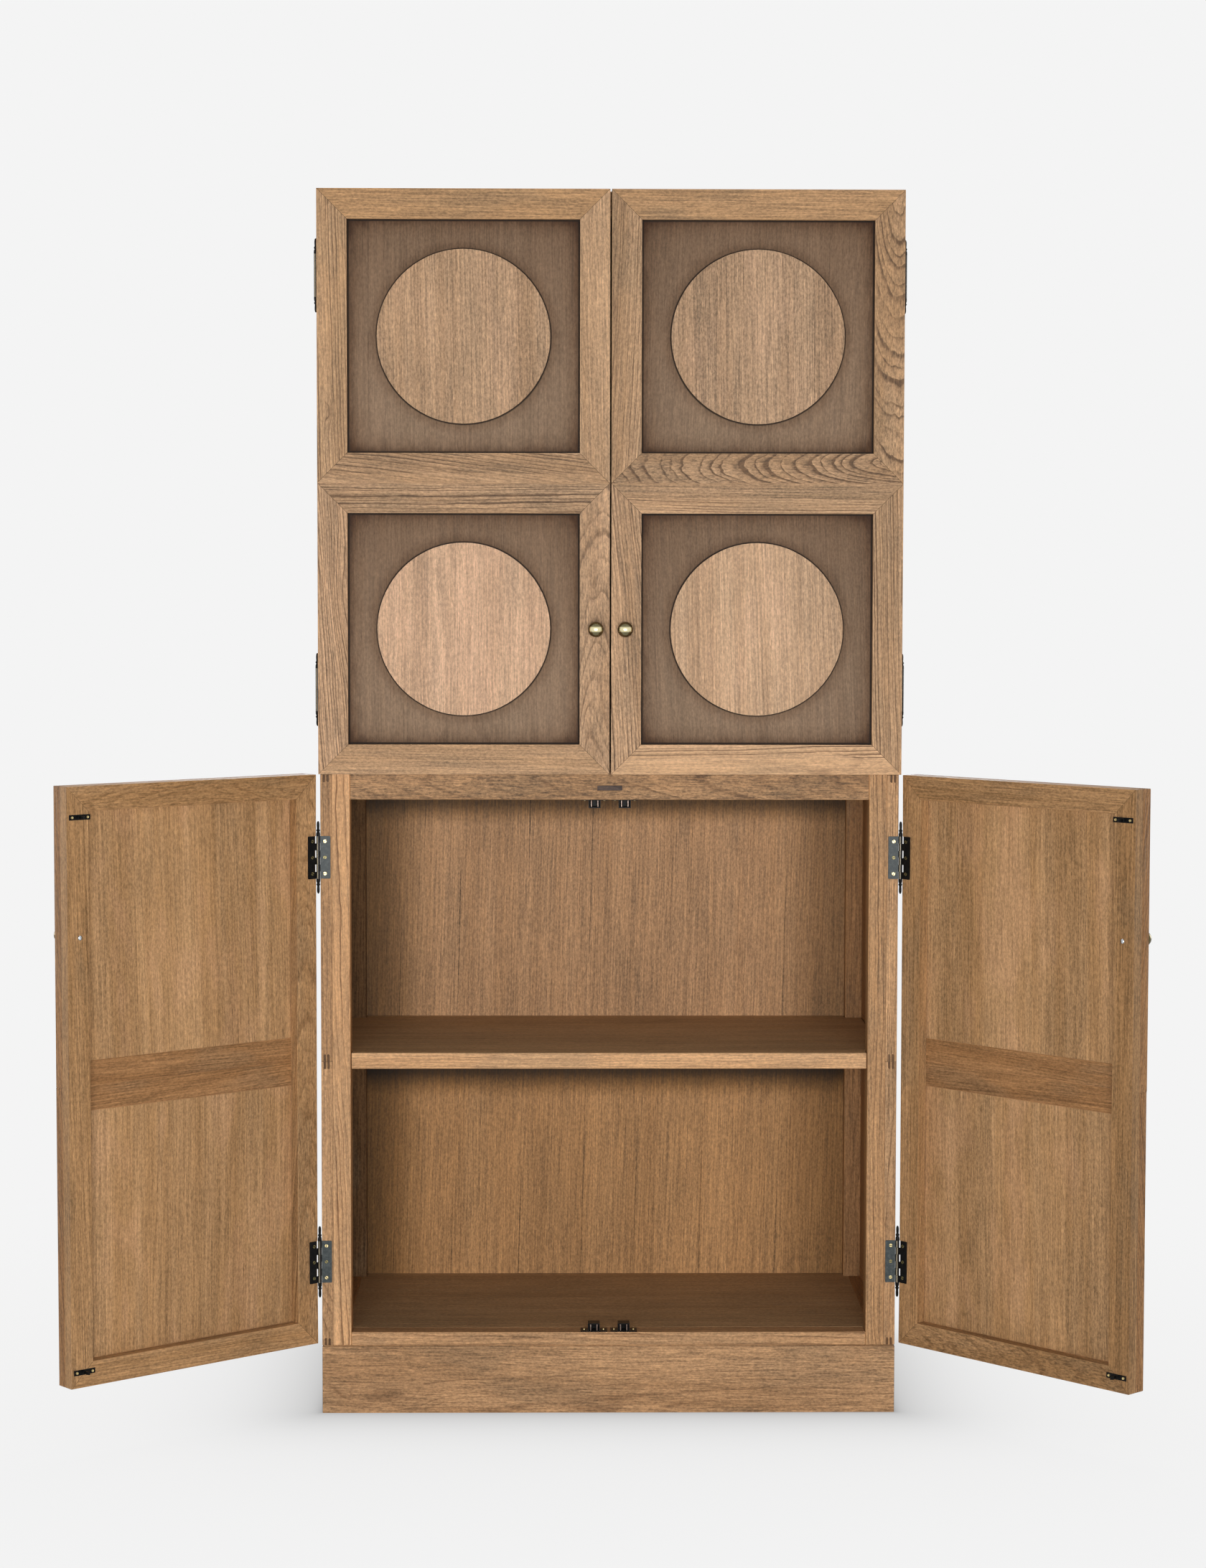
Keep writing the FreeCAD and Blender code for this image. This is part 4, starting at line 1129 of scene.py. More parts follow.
class Joiner:
    """Turns the solids of a wooden node into boards with eased edges, each with a grain of its own."""

    KEY_SIZE = 30 * MM
    LOG_LENGTH = 40.0
    FLAT_ANGLE = 0.5
    ARRIS_ANGLE = 30.0
    SQUARE_ON = 0.9
    FACES_WAY = 0.5
    EDGE_ON = 0.3
    ARRIS, SEAM = 1, 2
    EDGE_VALUES = {0: 0.0, ARRIS: 1.0, SEAM: -1.0}
    SEATED = ("front_frames", "discs", "door_panels")

    def __init__(self, model: Model) -> None:
        """Keep the frame."""
        self.model = model

    @staticmethod
    def seat(solid: Solid, low: Vector, high: Vector) -> str:
        """Where a solid sits in a door: the square, and for a member its side of that square.

        Args:
            solid: The member, panel or disc.
            low: The lowest corner of its node.
            high: The highest corner of its node.

        Returns:
            Two words for a member, or one word for what fills the square.
        """
        middle = (low + high) / 2
        is_upper = solid.middle.z > middle.z
        square = (high.z - low.z) / 4
        across = solid.middle.x - middle.x
        along = solid.middle.z - middle.z - (square if is_upper else -square)
        name = "upper" if is_upper else "lower"
        if max(abs(across), abs(along)) < square / 2:
            return name
        if abs(across) > abs(along):
            return f"{name} {'right' if across > 0 else 'left'}"
        return f"{name} {'top' if along > 0 else 'bottom'}"

    def character(self, name: str, number: int, timber: Timber) -> Character:
        """Give a board the cut chosen for it, or else one that is always the same for the same board."""
        if name in CUTS:
            return CUTS[name]
        dice = random.Random(f"{name} {number}")
        side = dice.choice((-1, 1))
        if dice.random() < timber.figured:
            return Character(
                dice.uniform(-18, 18) * MM, dice.uniform(30, 75) * MM, dice.uniform(-0.02, 0.02),
                side * dice.uniform(0.05, 0.2), dice.uniform(-0.08, 0.06) + timber.tone, 0.0,
                dice.uniform(1.0, 1.6), dice.uniform(5, 6.4) * MM,
            )
        return Character(
            side * dice.uniform(70, 260) * MM, dice.uniform(60, 160) * MM, dice.uniform(-0.04, 0.04),
            dice.uniform(-0.03, 0.03), dice.uniform(-0.07, 0.07) + timber.tone, 0.0, dice.uniform(0.7, 1.4),
            dice.uniform(3.8, 5.2) * MM,
        )

    @staticmethod
    def axes(solid: Solid, way: Way) -> tuple[int, int, int]:
        """The axes along the grain, across it and through the board."""
        order = sorted(range(3), key=lambda axis: -solid.size[axis])
        if way is Way.UPRIGHT and order[0] != 2:
            order.remove(2)
            order.insert(0, 2)
        return tuple(order)

    @staticmethod
    def board_mesh(solid: Solid) -> bmesh.types.BMesh:
        """A solid as whole flat faces instead of triangles."""
        mesh = bmesh.new()
        made: dict[tuple, bmesh.types.BMVert] = {}
        for triangle in solid.triangles:
            corners = []
            for point in triangle:
                key = tuple(round(number * Model.WELD) for number in point)
                if key not in made:
                    made[key] = mesh.verts.new(point)
                corners.append(made[key])
            if len(set(corners)) == 3:
                mesh.faces.new(corners)
        flat = math.radians(Joiner.FLAT_ANGLE)
        bmesh.ops.dissolve_limit(mesh, angle_limit=flat, verts=mesh.verts[:], edges=mesh.edges[:])
        return mesh

    @staticmethod
    def is_seam(edge: bmesh.types.BMEdge) -> bool:
        """Whether an edge lies on a mitre."""
        return any(max(map(abs, face.normal)) < Joiner.SQUARE_ON for face in edge.link_faces)

    def ease(self, mesh: bmesh.types.BMesh, timber: Timber) -> dict[int, float]:
        """Ease the arrises and sink a fine line at the mitres.

        Args:
            mesh: The board, which is changed.
            timber: How wide each is.

        Returns:
            A value for each new face by its number: 1 on an arris and -1 at a mitre.
        """
        mark = mesh.faces.layers.int.new("mark")
        for width, seam, value in ((timber.seam, True, self.SEAM), (timber.arris, False, self.ARRIS)):
            edges = [
                edge for edge in mesh.edges
                if len(edge.link_faces) == 2 and edge.calc_face_angle(0.0) > math.radians(self.ARRIS_ANGLE)
                and self.is_seam(edge) is seam and not any(face[mark] for face in edge.link_faces)
            ]
            if not edges:
                continue
            result = bmesh.ops.bevel(
                mesh, geom=edges, offset=width, segments=1, profile=0.5, affect="EDGES", clamp_overlap=True,
            )
            for face in result["faces"]:
                if face.is_valid and not face[mark]:
                    face[mark] = value
        mesh.faces.index_update()
        return {face.index: self.EDGE_VALUES[face[mark]] for face in mesh.faces}

    def add_board(self, stock: Stock, solid: Solid, timber: Timber, cut: Character, start: float) -> None:
        """Add one board to a mesh with its grain, its place on the face and its tint.

        Args:
            stock: The mesh.
            solid: The board.
            timber: How the boards of its node are finished.
            cut: How it was cut from its log.
            start: How far along the log it was cut, in metres.
        """
        mesh = self.board_mesh(solid)
        small = max(solid.size) < self.KEY_SIZE
        edges = {} if small else self.ease(mesh, timber)
        first_face = len(stock.faces)
        added = stock.take(mesh, BoardFace.KEY if small else BoardFace.BODY, edges)
        axes = self.axes(solid, timber.way)
        for index in added:
            marks = self.marks_at(stock.points[index] - solid.middle, axes, cut, start)
            for label, mark in marks.items():
                stock.marks[label][index] = Vector(mark)
        for number in range(first_face, len(stock.faces)):
            face = self.other_face(stock, stock.faces[number], solid, timber)
            if face is not None:
                stock.slots[number] = face

    @staticmethod
    def marks_at(
        point: Vector, axes: tuple[int, int, int], cut: Character, start: float,
    ) -> dict[str, tuple[float, float, float]]:
        """What the finish needs to know at a point of a board.

        Args:
            point: The point, from the board's middle.
            axes: The axes along the grain, across it and through the board.
            cut: How the board was cut from its log.
            start: How far along the log it was cut, in metres.

        Returns:
            Three numbers for each of the marks.
        """
        along, across, deep = (point[axis] for axis in axes)
        return {
            "log_place": (
                along + start, across - cut.pith_across + cut.lean_across * along,
                deep - cut.pith_deep + cut.lean_deep * along,
            ),
            "face_place": (point[0], point[2], cut.year),
            "board_tint": (cut.tone, cut.warmth, cut.figure),
            "strip": ((across - cut.strip.start) * cut.strip.side, cut.strip.tone, cut.strip.line),
            "from_knot": (along - cut.knot.along, across - cut.knot.across, cut.knot.size),
        }

    def other_face(
        self, stock: Stock, face: list[int], solid: Solid, timber: Timber,
    ) -> BoardFace | None:
        """Which other finish a face takes because of the way that it looks, if any."""
        facing = self.facing(stock, face)
        reach = abs(stock.points[face[0]].x)
        looks_in = facing.x * solid.middle.x < 0 and abs(facing.x) > self.FACES_WAY
        is_key = max(solid.size) < self.KEY_SIZE
        if timber.back_finish and facing.y > self.FACES_WAY and not is_key:
            return BoardFace.BACK
        if timber.wall_finish and abs(facing.y) < self.EDGE_ON:
            return BoardFace.OTHER
        if timber.level_finish and facing.z > self.FACES_WAY:
            return BoardFace.OTHER
        if timber.inner_finish and looks_in and reach < timber.inner_reach:
            return BoardFace.OTHER
        return None

    @staticmethod
    def facing(stock: Stock, face: list[int]) -> Vector:
        """The way a face looks in the closed cabinet."""
        points = [stock.points[index] for index in face]
        area = Vector()
        for first, second in zip(points[1:], points[2:]):
            area += (first - points[0]).cross(second - points[0])
        return area.normalized()

    def dress(self, node: str, timber: Timber) -> bpy.types.Object:
        """Make the boards of a node and let them stand for it.

        Args:
            node: The node's name.
            timber: How its solids are cut and finished.

        Returns:
            The piece.
        """
        stock = Stock()
        solids = self.model.solids(node)
        low, high = (
            Vector(pick(getattr(solid, end)[axis] for solid in solids) for axis in range(3))
            for pick, end in ((min, "low"), (max, "high"))
        )
        for number, solid in enumerate(solids):
            start = random.Random(f"{node} start {number}").uniform(0, self.LOG_LENGTH)
            name = f"{node} {self.seat(solid, low, high)}" if node.endswith(self.SEATED) else node
            self.add_board(stock, solid, timber, self.character(name, number, timber), start)
        other = timber.wall_finish or timber.inner_finish or timber.level_finish or timber.finish
        finishes = [timber.finish, "key oak", timber.back_finish or timber.finish, other]
        return stock.piece(f"{node}_wood", self.model.body_of(node), finishes, self.model, [node])

    def all_wood(self) -> None:
        """Dress every wooden node."""
        frame = Timber("carcass oak")
        inside = Timber("inside veneer", figured=0.0)
        # Up-facing tops of this board take painted shade.
        level = Timber("inside veneer", level_finish="shelf top shade oak", figured=0.0)
        upright = Timber("back veneer", Way.UPRIGHT, back_finish="inside veneer", figured=0.0)
        # Darker copies of oak paint shade on the inner walls, rails and legs.
        recess = Timber("recess shade oak", figured=0.0)
        side_inner_shade = Timber("carcass oak", inner_finish="recess shade oak")
        panel_inner_shade = Timber("disc veneer", Way.UPRIGHT, inner_finish="recess shade oak", figured=0.0)
        plan = {
            "plinth_front": Timber("carcass oak", figured=1.0, tone=-0.12),
            "plinth_frame": frame, "plinth_bearer": frame,
            # The left inner wall and back left leg are painted dark for shade.
            "left_side_frames": replace(side_inner_shade, inner_finish="left wall shade oak"),
            "right_side_frames": side_inner_shade,
            "left_side_panels": replace(panel_inner_shade, inner_finish="left wall shade oak"),
            "right_side_panels": panel_inner_shade,
            "front_left_leg": side_inner_shade, "front_right_leg": side_inner_shade,
            "back_left_leg": Timber("left wall shade oak", figured=0.0),
            "back_right_leg": recess, "side_inner_rails": recess,
            "top_board": inside, "top_rail": frame, "middle_board": inside,
            "middle_rail": Timber("carcass oak", figured=1.0, tone=-0.14),
            "rail_inlay": Timber("inlay wood", arris=0.3 * MM),
            "bottom_board": level, "bottom_rail": frame,
            "lower_shelf": Timber("carcass oak", level_finish="shelf top shade oak", tone=0.3, figured=0.0),
            "upper_shelf": frame, "shelf_bearers": inside, "back_panels": upright,
        }
        for door in DOORS:
            # Painted shade on the doors' facing edges in the gap: near black above, darker oak below.
            gap_shade = "shaded oak" if door.startswith("upper") else "recess shade oak"
            plan[f"{door}_front_frames"] = Timber(
                back_finish="recess shade oak", inner_finish=gap_shade, inner_reach=20 * MM,
            )
            plan[f"{door}_back_frame"] = Timber("back oak", tone=-0.1 if "right" in door else -0.02)
            plan[f"{door}_panels"] = Timber(
                "stained veneer", Way.UPRIGHT, back_finish="door back veneer", figured=0.0,
            )
            # The discs' edges take near-black key oak as a painted shadow round each disc.
            plan[f"{door}_discs"] = Timber(
                "disc veneer", Way.UPRIGHT, arris=1.2 * MM, wall_finish="key oak", figured=0.0,
            )
        for node, timber in plan.items():
            self.dress(node, timber)


# Hardware


@dataclass
class ScrewPlace:
    """Where a screw head lies: its middle on the surface, the way it faces and its diameter."""

    place: Vector
    facing: Vector
    diameter: float


class ScrewFinish(Enum):
    """How bright a screw head's brass is."""

    BRIGHT = "brass screw"
    DULL = "dull screw"


class Screws:
    """Slotted screw heads, set out by one geometry tree on each body."""

    DEPTH_SHARE = 0.3
    SLOT_SHARE = 0.16
    FACE_RADIUS = 0.38
    BAR_LENGTH = 1.4
    BAR_LIFT = 1.15
    SIDES = 20

    def __init__(self, model: Model) -> None:
        """Keep the frame and build the tree."""
        self.model = model
        self.places: dict[tuple[str, ScrewFinish], list[ScrewPlace]] = {}
        self.tree = self.build_tree()

    def add(
        self, body: str, place: Vector, facing: Vector, diameter: float,
        finish: ScrewFinish = ScrewFinish.BRIGHT,
    ) -> None:
        """Note a screw on a body, in the closed cabinet."""
        self.places.setdefault((body, finish), []).append(ScrewPlace(place, facing.normalized(), diameter))

    def build_tree(self) -> bpy.types.NodeTree:
        """Build the tree that puts a head of one millimetre on each point and scales it.

        Returns:
            The tree, with inputs for the slot's width, the seed and the material.
        """
        tree = bpy.data.node_groups.new("screw heads", "GeometryNodeTree")
        face = tree.interface
        face.new_socket("Geometry", in_out="INPUT", socket_type="NodeSocketGeometry")
        for label, kind, value in (
            ("Slot Width", "NodeSocketFloat", self.SLOT_SHARE),
            ("Head Depth", "NodeSocketFloat", self.DEPTH_SHARE),
            ("Seed", "NodeSocketInt", 7),
            ("Material", "NodeSocketMaterial", None),
        ):
            socket = face.new_socket(label, in_out="INPUT", socket_type=kind)
            if value is not None:
                socket.default_value = value
        face.new_socket("Geometry", in_out="OUTPUT", socket_type="NodeSocketGeometry")
        wires = Wiring(tree)
        given = wires.add("NodeGroupInput")
        depth = given.outputs["Head Depth"]
        head = wires.add("GeometryNodeMeshCone", {
            "Vertices": self.SIDES, "Radius Top": self.FACE_RADIUS, "Radius Bottom": 0.5, "Depth": depth,
        })
        sizes = {"X": self.BAR_LENGTH, "Y": given.outputs["Slot Width"], "Z": depth}
        size = wires.add("ShaderNodeCombineXYZ", sizes)
        bar = wires.add("GeometryNodeMeshCube", {"Size": size.outputs[0]})
        lift = wires.add("ShaderNodeCombineXYZ", {"Z": wires.times(depth, self.BAR_LIFT)})
        raised = wires.add(
            "GeometryNodeTransform", {"Geometry": bar.outputs[0], "Translation": lift.outputs[0]},
        )
        slotted = wires.add("GeometryNodeMeshBoolean", {"Mesh 1": head.outputs[0]}, operation="DIFFERENCE")
        wires.feed(slotted.inputs["Mesh 2"], raised.outputs[0])
        facing = wires.add("GeometryNodeInputNamedAttribute", {"Name": "facing"}, data_type="FLOAT_VECTOR")
        width = wires.add("GeometryNodeInputNamedAttribute", {"Name": "width"}, data_type="FLOAT")
        aimed = wires.add("FunctionNodeAlignRotationToVector", {"Vector": facing.outputs[0]}, axis="Z")
        chance = wires.add(
            "FunctionNodeRandomValue", {"Max": math.pi, "Seed": given.outputs["Seed"]}, data_type="FLOAT",
        )
        spin = wires.add("FunctionNodeAxisAngleToRotation", {"Axis": (0, 0, 1), "Angle": chance.outputs[1]})
        turned = wires.add(
            "FunctionNodeRotateRotation", {0: aimed.outputs[0], 1: spin.outputs[0]}, rotation_space="LOCAL",
        )
        placed = wires.add("GeometryNodeInstanceOnPoints", {
            "Points": given.outputs["Geometry"], "Instance": slotted.outputs[0],
            "Rotation": turned.outputs[0], "Scale": width.outputs[0],
        })
        real = wires.add("GeometryNodeRealizeInstances", {"Geometry": placed.outputs[0]})
        dressed = wires.add(
            "GeometryNodeSetMaterial", {"Geometry": real.outputs[0], "Material": given.outputs["Material"]},
        )
        wires.add("NodeGroupOutput", {"Geometry": dressed.outputs[0]})
        return tree

    def build(self) -> None:
        """Turn the noted places into one plain mesh of screw heads for each body and finish."""
        for (body, finish), rows in self.places.items():
            opening = self.model.closing[body].inverted()
            points = bpy.data.meshes.new("screw points")
            points.from_pydata([opening @ row.place for row in rows], [], [])
            facing = [number for row in rows for number in opening.to_3x3() @ row.facing]
            points.attributes.new("facing", "FLOAT_VECTOR", "POINT").data.foreach_set("vector", facing)
            widths = [row.diameter for row in rows]
            points.attributes.new("width", "FLOAT", "POINT").data.foreach_set("value", widths)
            holder = add_object("screw holder", points)
            modifier = holder.modifiers.new("screws", "NODES")
            modifier.node_group = self.tree
            material = next(item for item in self.tree.interface.items_tree if item.name == "Material")
            modifier[material.identifier] = bpy.data.materials[finish.value]
            graph = bpy.context.evaluated_depsgraph_get()
            mesh = bpy.data.meshes.new_from_object(holder.evaluated_get(graph))
            bpy.data.objects.remove(holder)
            mesh.name = f"{body}_{finish.value.replace(' ', '_')}_heads"
            piece = add_object(mesh.name, mesh)
            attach(piece, body)
            LOG.info("%s: %d heads", piece.name, len(rows))


class HingeSteel(IntEnum):
    """The steels of the hinge leaves, in the order of the piece's slots."""

    BLACK = 0
    SLATE_SHEEN = 1
    BARREL = 2


@dataclass(frozen=True)
class LeafPlan:
    """Where one hinge leaf lies in the closed cabinet.

    The side is 1 on the right and -1 on the left. The axis is the pin's, near and far are the faces of the
    plate from front to back, and the plate runs from its edge to its end beside the barrel.
    """

    body: str
    side: int
    axis_x: float
    axis_y: float
    near: float
    far: float
    edge: float
    end: float
    middle: float

    @property
    def is_door(self) -> bool:
        """Whether the leaf is a door's."""
        return self.body != CARCASS


@dataclass
class Hinges:
    """Butt hinges with a finial at each end of the pin.

    The finial is given ring by ring, as radius and height in millimetres.
    """

    model: Model
    screws: Screws
    sides: int = 32
    knuckles: int = 6
    knuckle_gap: float = 0.1 * MM
    glint: tuple[float, float, float] = (-0.3, -0.95, 0.0)
    glint_width: float = 11.0
    barrel: float = 3.5 * MM
    pin_offset: float = 6.6 * MM
    screw_spacing: float = 28.5 * MM
    screw_setback: float = 9.5 * MM
    screw_head: float = 7.6 * MM
    screw_proud: float = 0.4 * MM
    height: float = 75 * MM
    leaf_inset: float = 0.5 * MM
    leaf_thickness: float = 2 * MM
    leaf_clearance: float = 0.2 * MM
    leaf_corner: float = 1.6 * MM
    lip: float = 0.2 * MM
    finial: tuple[Span, ...] = (
        (0.0, 0.0), (3.5, 0.0), (3.55, 1.2), (3.4, 4.5), (2.9, 6.6), (2.35, 7.6), (2.6, 8.4),
        (3.25, 9.2), (3.4, 10.0), (3.2, 10.9), (2.6, 11.8), (2.2, 12.6), (2.2, 14.0), (2.4, 17.0),
        (2.5, 20.0), (2.3, 22.8), (1.8, 24.9), (1.0, 26.1), (0.0, 26.5),
    )

    def highlight_faces(self, knuckle: bmesh.types.BMesh, body: str) -> dict[int, float]:
        """The faces of a knuckle that take a painted highlight line: those that look to the front left at
        rest.
        """
        glint = self.model.closing[body].to_3x3() @ Vector(self.glint).normalized()
        knuckle.faces.index_update()
        least = math.cos(math.radians(self.glint_width))
        return {face.index: 1.0 for face in knuckle.faces if face.normal.dot(glint) > least}

    def plan(self, solid: Solid, body: str) -> LeafPlan:
        """Find where a leaf lies.

        Args:
            solid: The leaf of the frame, in the closed cabinet.
            body: The body that it is screwed to.

        Returns:
            Its measures.
        """
        side = 1 if solid.middle.x > 0 else -1
        outer, edge = (solid.high.x, solid.low.x) if side > 0 else (solid.low.x, solid.high.x)
        axis_x, axis_y = outer - side * self.barrel, self.model.pins[DOORS[0]].y
        is_door = body != CARCASS
        way = -1 if is_door else 1
        planes = (axis_y + way * self.leaf_inset, axis_y + way * (self.leaf_inset + self.leaf_thickness))
        end = axis_x - side * (self.pin_offset if is_door else self.barrel + self.leaf_clearance)
        middle = (solid.low.z + solid.high.z) / 2
        return LeafPlan(body, side, axis_x, axis_y, min(planes), max(planes), edge, end, middle)

    def add_plate(self, stock: Stock, leaf: LeafPlan) -> None:
        """Add a leaf's plate with its two outer corners rounded."""
        bottom = leaf.middle - self.height / 2
        mesh = block(
            Vector((min(leaf.edge, leaf.end), leaf.near, bottom)),
            Vector((max(leaf.edge, leaf.end), leaf.far, bottom + self.height)),
        )
        corners = [
            edge for edge in mesh.edges
            if abs((edge.verts[0].co - edge.verts[1].co).y) > self.leaf_thickness / 2
            and abs(edge.verts[0].co.x - leaf.edge) < 1e-6
        ]
        bmesh.ops.bevel(
            mesh, geom=corners, offset=self.leaf_corner, segments=4, profile=0.5, affect="EDGES",
        )
        # The carcass leaves take the lighter slate copy as painted sheen.
        stock.take(mesh, HingeSteel.BLACK if leaf.is_door else HingeSteel.SLATE_SHEEN)

    def add_knuckles(self, stock: Stock, leaf: LeafPlan) -> None:
        """Add every other knuckle of the barrel, each with the tab that joins it to the plate."""
        bottom = leaf.middle - self.height / 2
        span = self.height / self.knuckles
        length = span - self.knuckle_gap
        narrow = self.barrel - self.lip
        profile = (
            (0.0, 0.0), (narrow, 0.0), (self.barrel, self.lip), (self.barrel, length - self.lip),
            (narrow, length), (0.0, length),
        )
        for number in range(0 if leaf.is_door else 1, self.knuckles, 2):
            foot = bottom + number * span + self.knuckle_gap / 2
            place = Vector((leaf.axis_x, leaf.axis_y, foot))
            knuckle = lathe(profile, self.sides, place, Vector((0, 0, 1)))
            # Painted highlight: a bright line down each knuckle's front.
            stock.take(knuckle, HingeSteel.BARREL, self.highlight_faces(knuckle, leaf.body))
            low = Vector((min(leaf.axis_x, leaf.end), leaf.near, foot))
            high = Vector((max(leaf.axis_x, leaf.end), leaf.far, foot + length))
            stock.take(block(low, high), HingeSteel.BLACK)

    def note_screws(self, leaf: LeafPlan) -> None:
        """Note the three screws of a leaf, sunk so far that the leaf facing them clears their heads."""
        facing = Vector((0, 1 if leaf.is_door else -1, 0))
        surface = leaf.far if leaf.is_door else leaf.near
        sunk = facing * (Screws.DEPTH_SHARE * self.screw_head - self.screw_proud)
        across = leaf.edge + leaf.side * self.screw_setback
        for number in (-1, 0, 1):
            place = Vector((across, surface, leaf.middle + number * self.screw_spacing))
            finish = ScrewFinish.DULL if leaf.is_door or number == 0 else ScrewFinish.BRIGHT
            self.screws.add(leaf.body, place - sunk, facing, self.screw_head, finish)

    def build(self) -> None:
        """Make the leaves of the carcass and of each door, and the pins."""
        nodes = {CARCASS: "carcass_hinge_leaves"} | {door: f"{door}_hinge_leaves" for door in DOORS}
        for body, node in nodes.items():
            stock = Stock()
            for solid in self.model.solids(node):
                leaf = self.plan(solid, body)
                self.add_plate(stock, leaf)
                self.add_knuckles(stock, leaf)
                self.note_screws(leaf)
            finishes = ["blackened steel", "slate sheen steel", "barrel steel"]
            stock.piece(f"{node}_steel", body, finishes, self.model, [node], smooth=35)
        stock = Stock()
        profile = [(radius * MM, height * MM) for radius, height in self.finial]
        for solid in self.model.solids("hinge_pins"):
            foot = Vector((solid.middle.x, solid.middle.y, 0))
            for way in (-1, 1):
                foot.z = solid.middle.z + way * self.height / 2
                stock.take(lathe(profile, self.sides, foot, Vector((0, 0, way))))
        finishes = ["blackened steel"]
        stock.piece("hinge_finials_steel", CARCASS, finishes, self.model, ["hinge_pins"], smooth=50)


@dataclass
class Knobs:
    """Ball knobs on a small rose, each with the head of its screw on the back of the door.

    The screw's head is given ring by ring, as radius and height in millimetres.
    """

    model: Model
    sides: int = 48
    diameter: float = 27 * MM
    neck: float = 10 * MM
    rose: float = 16 * MM
    rings: int = 22
    rose_height: float = 1.9 * MM
    rose_round: float = 0.8 * MM
    neck_flare: Span = (0.6 * MM, 2.2 * MM)
    neck_foot: float = 3 * MM
    screw_head: tuple[Span, ...] = ((0.0, 0.0), (4.25, 0.0), (4.2, 0.7), (3.4, 1.7), (1.8, 2.3), (0.0, 2.4))

    def ball_profile(self, reach: float) -> list[Span]:
        """The profile of the rose, the neck and the ball, from the door out to the reach."""
        ball, neck, rose = self.diameter / 2, self.neck / 2, self.rose / 2
        middle = reach - ball
        start = math.asin(neck / ball)
        profile = [
            (0.0, 0.0), (rose, 0.0), (rose, self.rose_height - self.rose_round),
            (rose - self.rose_round, self.rose_height), (neck + self.neck_flare[0], self.neck_flare[1]),
            (neck, self.neck_foot),
        ]
        for step in range(self.rings + 1):
            angle = start + (math.pi - start) * step / self.rings
            radius = 0.0 if step == self.rings else ball * math.sin(angle)
            profile.append((radius, middle - ball * math.cos(angle)))
        return profile

    def build(self) -> None:
        """Make the knob of each door and the head of its screw."""
        head = [(radius * MM, height * MM) for radius, height in self.screw_head]
        for door in DOORS:
            node = f"{door}_knob"
            ball, screw = sorted(self.model.solids(node), key=lambda solid: solid.low.y)
            stock = Stock()
            foot = Vector((ball.middle.x, ball.high.y, ball.middle.z))
            turned = lathe(self.ball_profile(ball.size.y), self.sides, foot, Vector((0, -1, 0)))
            # The ball's front and height steer the polish and its painted highlight band.
            for index in stock.take(turned):
                front = (ball.low.y + self.diameter / 2 - stock.points[index].y) / (self.diameter / 2)
                above = (stock.points[index].z - ball.middle.z) / (self.diameter / 2)
                stock.marks["face_place"][index] = Vector((max(front, 0.0), above, 0.0))
            stock.piece(f"{node}_ball", door, ["aged brass"], self.model, [node], smooth=40)
            stock = Stock()
            foot = Vector((screw.middle.x, screw.high.y - head[-1][1], screw.middle.z))
            stock.take(lathe(head, self.sides // 2, foot, Vector((0, 1, 0))))
            stock.piece(f"{door}_knob_screw_head", door, ["zinc steel"], self.model, smooth=40)


